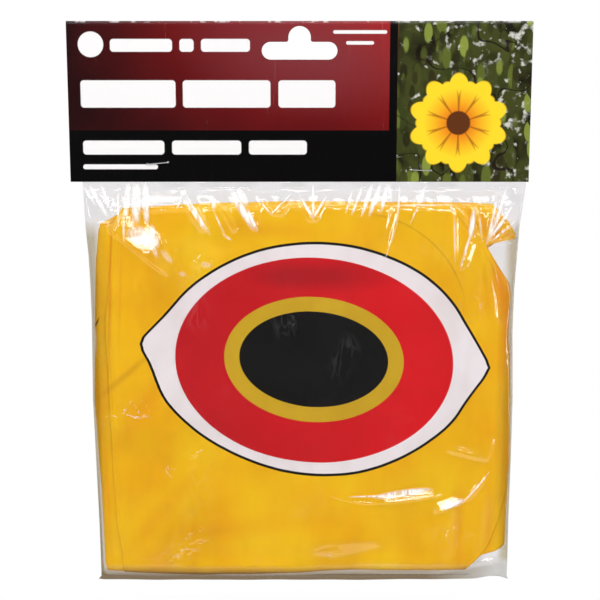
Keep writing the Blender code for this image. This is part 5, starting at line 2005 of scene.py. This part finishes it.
@dataclass
class Studio:
    """White room, lamps and camera."""

    aim: Point3 = (0.00016, 0.0, -0.11456)
    camera_elevation: float = 12.63
    camera_distance: float = 0.6845
    lens: float = 97.02
    floor_drop: float = 0.41
    floor_reach: float = 4.0
    floor_near: float = -0.5
    shadow_near: float = 0.62
    shadow_far: float = 0.85
    soft_light: float = 0.345
    gloss_span: tuple[float, float] = (-0.94, -0.1)
    gloss_light: tuple[float, float] = (0.035, 0.85)
    white: Color = (1.0, 1.0, 1.0)
    lamps: tuple[Lamp, ...] = (
        Lamp("top_strip", 21.0, 0.0, 0.95, 0.95, 0.09, 3.0),
        Lamp("high_strip", 58.5, 0.0, 0.95, 0.6, 0.10, 0.9),
        Lamp("left_soft", 45.0, -50.0, 0.95, 0.5, 0.4, 2.9),
        Lamp("right_soft", 40.0, 55.0, 0.95, 0.4, 0.4, 2.0),
        Lamp("left_strip", 14.0, -38.0, 0.95, 0.064, 0.42, 1.3),
        Lamp("right_strip", -12.0, 40.0, 0.95, 0.10, 0.35, 1.2),
        Lamp("back_left", 20.0, 140.0, 1.0, 0.08, 0.7, 2.4),
        Lamp("back_right", 30.0, -140.0, 1.0, 0.2, 0.5, 3.4),
    )

    def build(self) -> None:
        """Set the room up."""
        target = Vector(self.aim)
        for lamp in self.lamps:
            lamp.build(target)
        self.camera(target)
        self.floor()
        self.world()
        bpy.context.scene.view_settings.view_transform = "Standard"
        LOG.info("studio: %d lamps", len(self.lamps))

    def camera(self, target: Vector) -> None:
        """Look at the pack from a little above."""
        data = bpy.data.cameras.new("camera")
        data.lens = self.lens
        data.sensor_width = 36.0
        data.clip_start = 0.01
        camera = new_object("camera", data)
        aim(camera, target, self.camera_elevation, 0.0, self.camera_distance)
        bpy.context.scene.camera = camera

    def floor(self) -> None:
        """A pale floor well below the hanging pack."""
        mesh = bpy.data.meshes.new("floor")
        reach, near, z = self.floor_reach, self.floor_near, self.aim[2] - self.floor_drop
        corners = [(-reach, near, z), (reach, near, z), (reach, reach, z), (-reach, reach, z)]
        mesh.from_pydata(corners, [], [(0, 1, 2, 3)])
        floor = new_object("floor", mesh)
        material, net, shader = new_material("floor_white")
        net.fill(shader, {"Base Color": (0.9, 0.9, 0.9), "Roughness": 0.8})
        glow = net.add("ShaderNodeEmission", {"Color": self.white, "Strength": 1.0})
        path = net.add("ShaderNodeLightPath").outputs
        seen = net.most(path["Is Camera Ray"], path["Is Transmission Ray"])
        seen = net.times(seen, net.spread(net.reach(net.point), self.shadow_near, self.shadow_far))
        net.show(MATERIAL_OUTPUT, net.mix(seen, shader, glow))
        dress(floor, material)
        floor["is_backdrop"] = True

    def world(self) -> None:
        """White to the eye, a soft even light, and for gloss white behind and dim in front."""
        world = bpy.data.worlds.new("room")
        bpy.context.scene.world = world
        world.use_nodes = True
        tree = world.node_tree
        tree.nodes.clear()
        net = Wiring(tree)
        net.point = net.add("ShaderNodeTexCoord").outputs["Generated"]
        behind = net.spread(net.axes()["Y"], *self.gloss_span, *self.gloss_light)
        gloss, soft, plain = (
            net.add("ShaderNodeBackground", {"Strength": strength, "Color": self.white})
            for strength in (behind, self.soft_light, 1.0)
        )
        path = net.add("ShaderNodeLightPath").outputs
        inner = net.mix(net.most(path["Is Glossy Ray"], path["Is Transmission Ray"]), soft, gloss)
        net.show("ShaderNodeOutputWorld", net.mix(path["Is Camera Ray"], inner, plain))


def main() -> None:
    """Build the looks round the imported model, part by part."""
    logging.basicConfig(level=logging.INFO, format="%(name)s %(message)s")
    pack = PackFrame()
    SharedGroups().build()
    outline = StackOutline()
    HeaderCard(pack).build()
    FoldedBalloon(outline, StackRelief(outline)).build()
    SmallParts(pack).build()
    FilmBag(pack, outline).build()
    Studio().build()


if __name__ == "__main__":
    main()
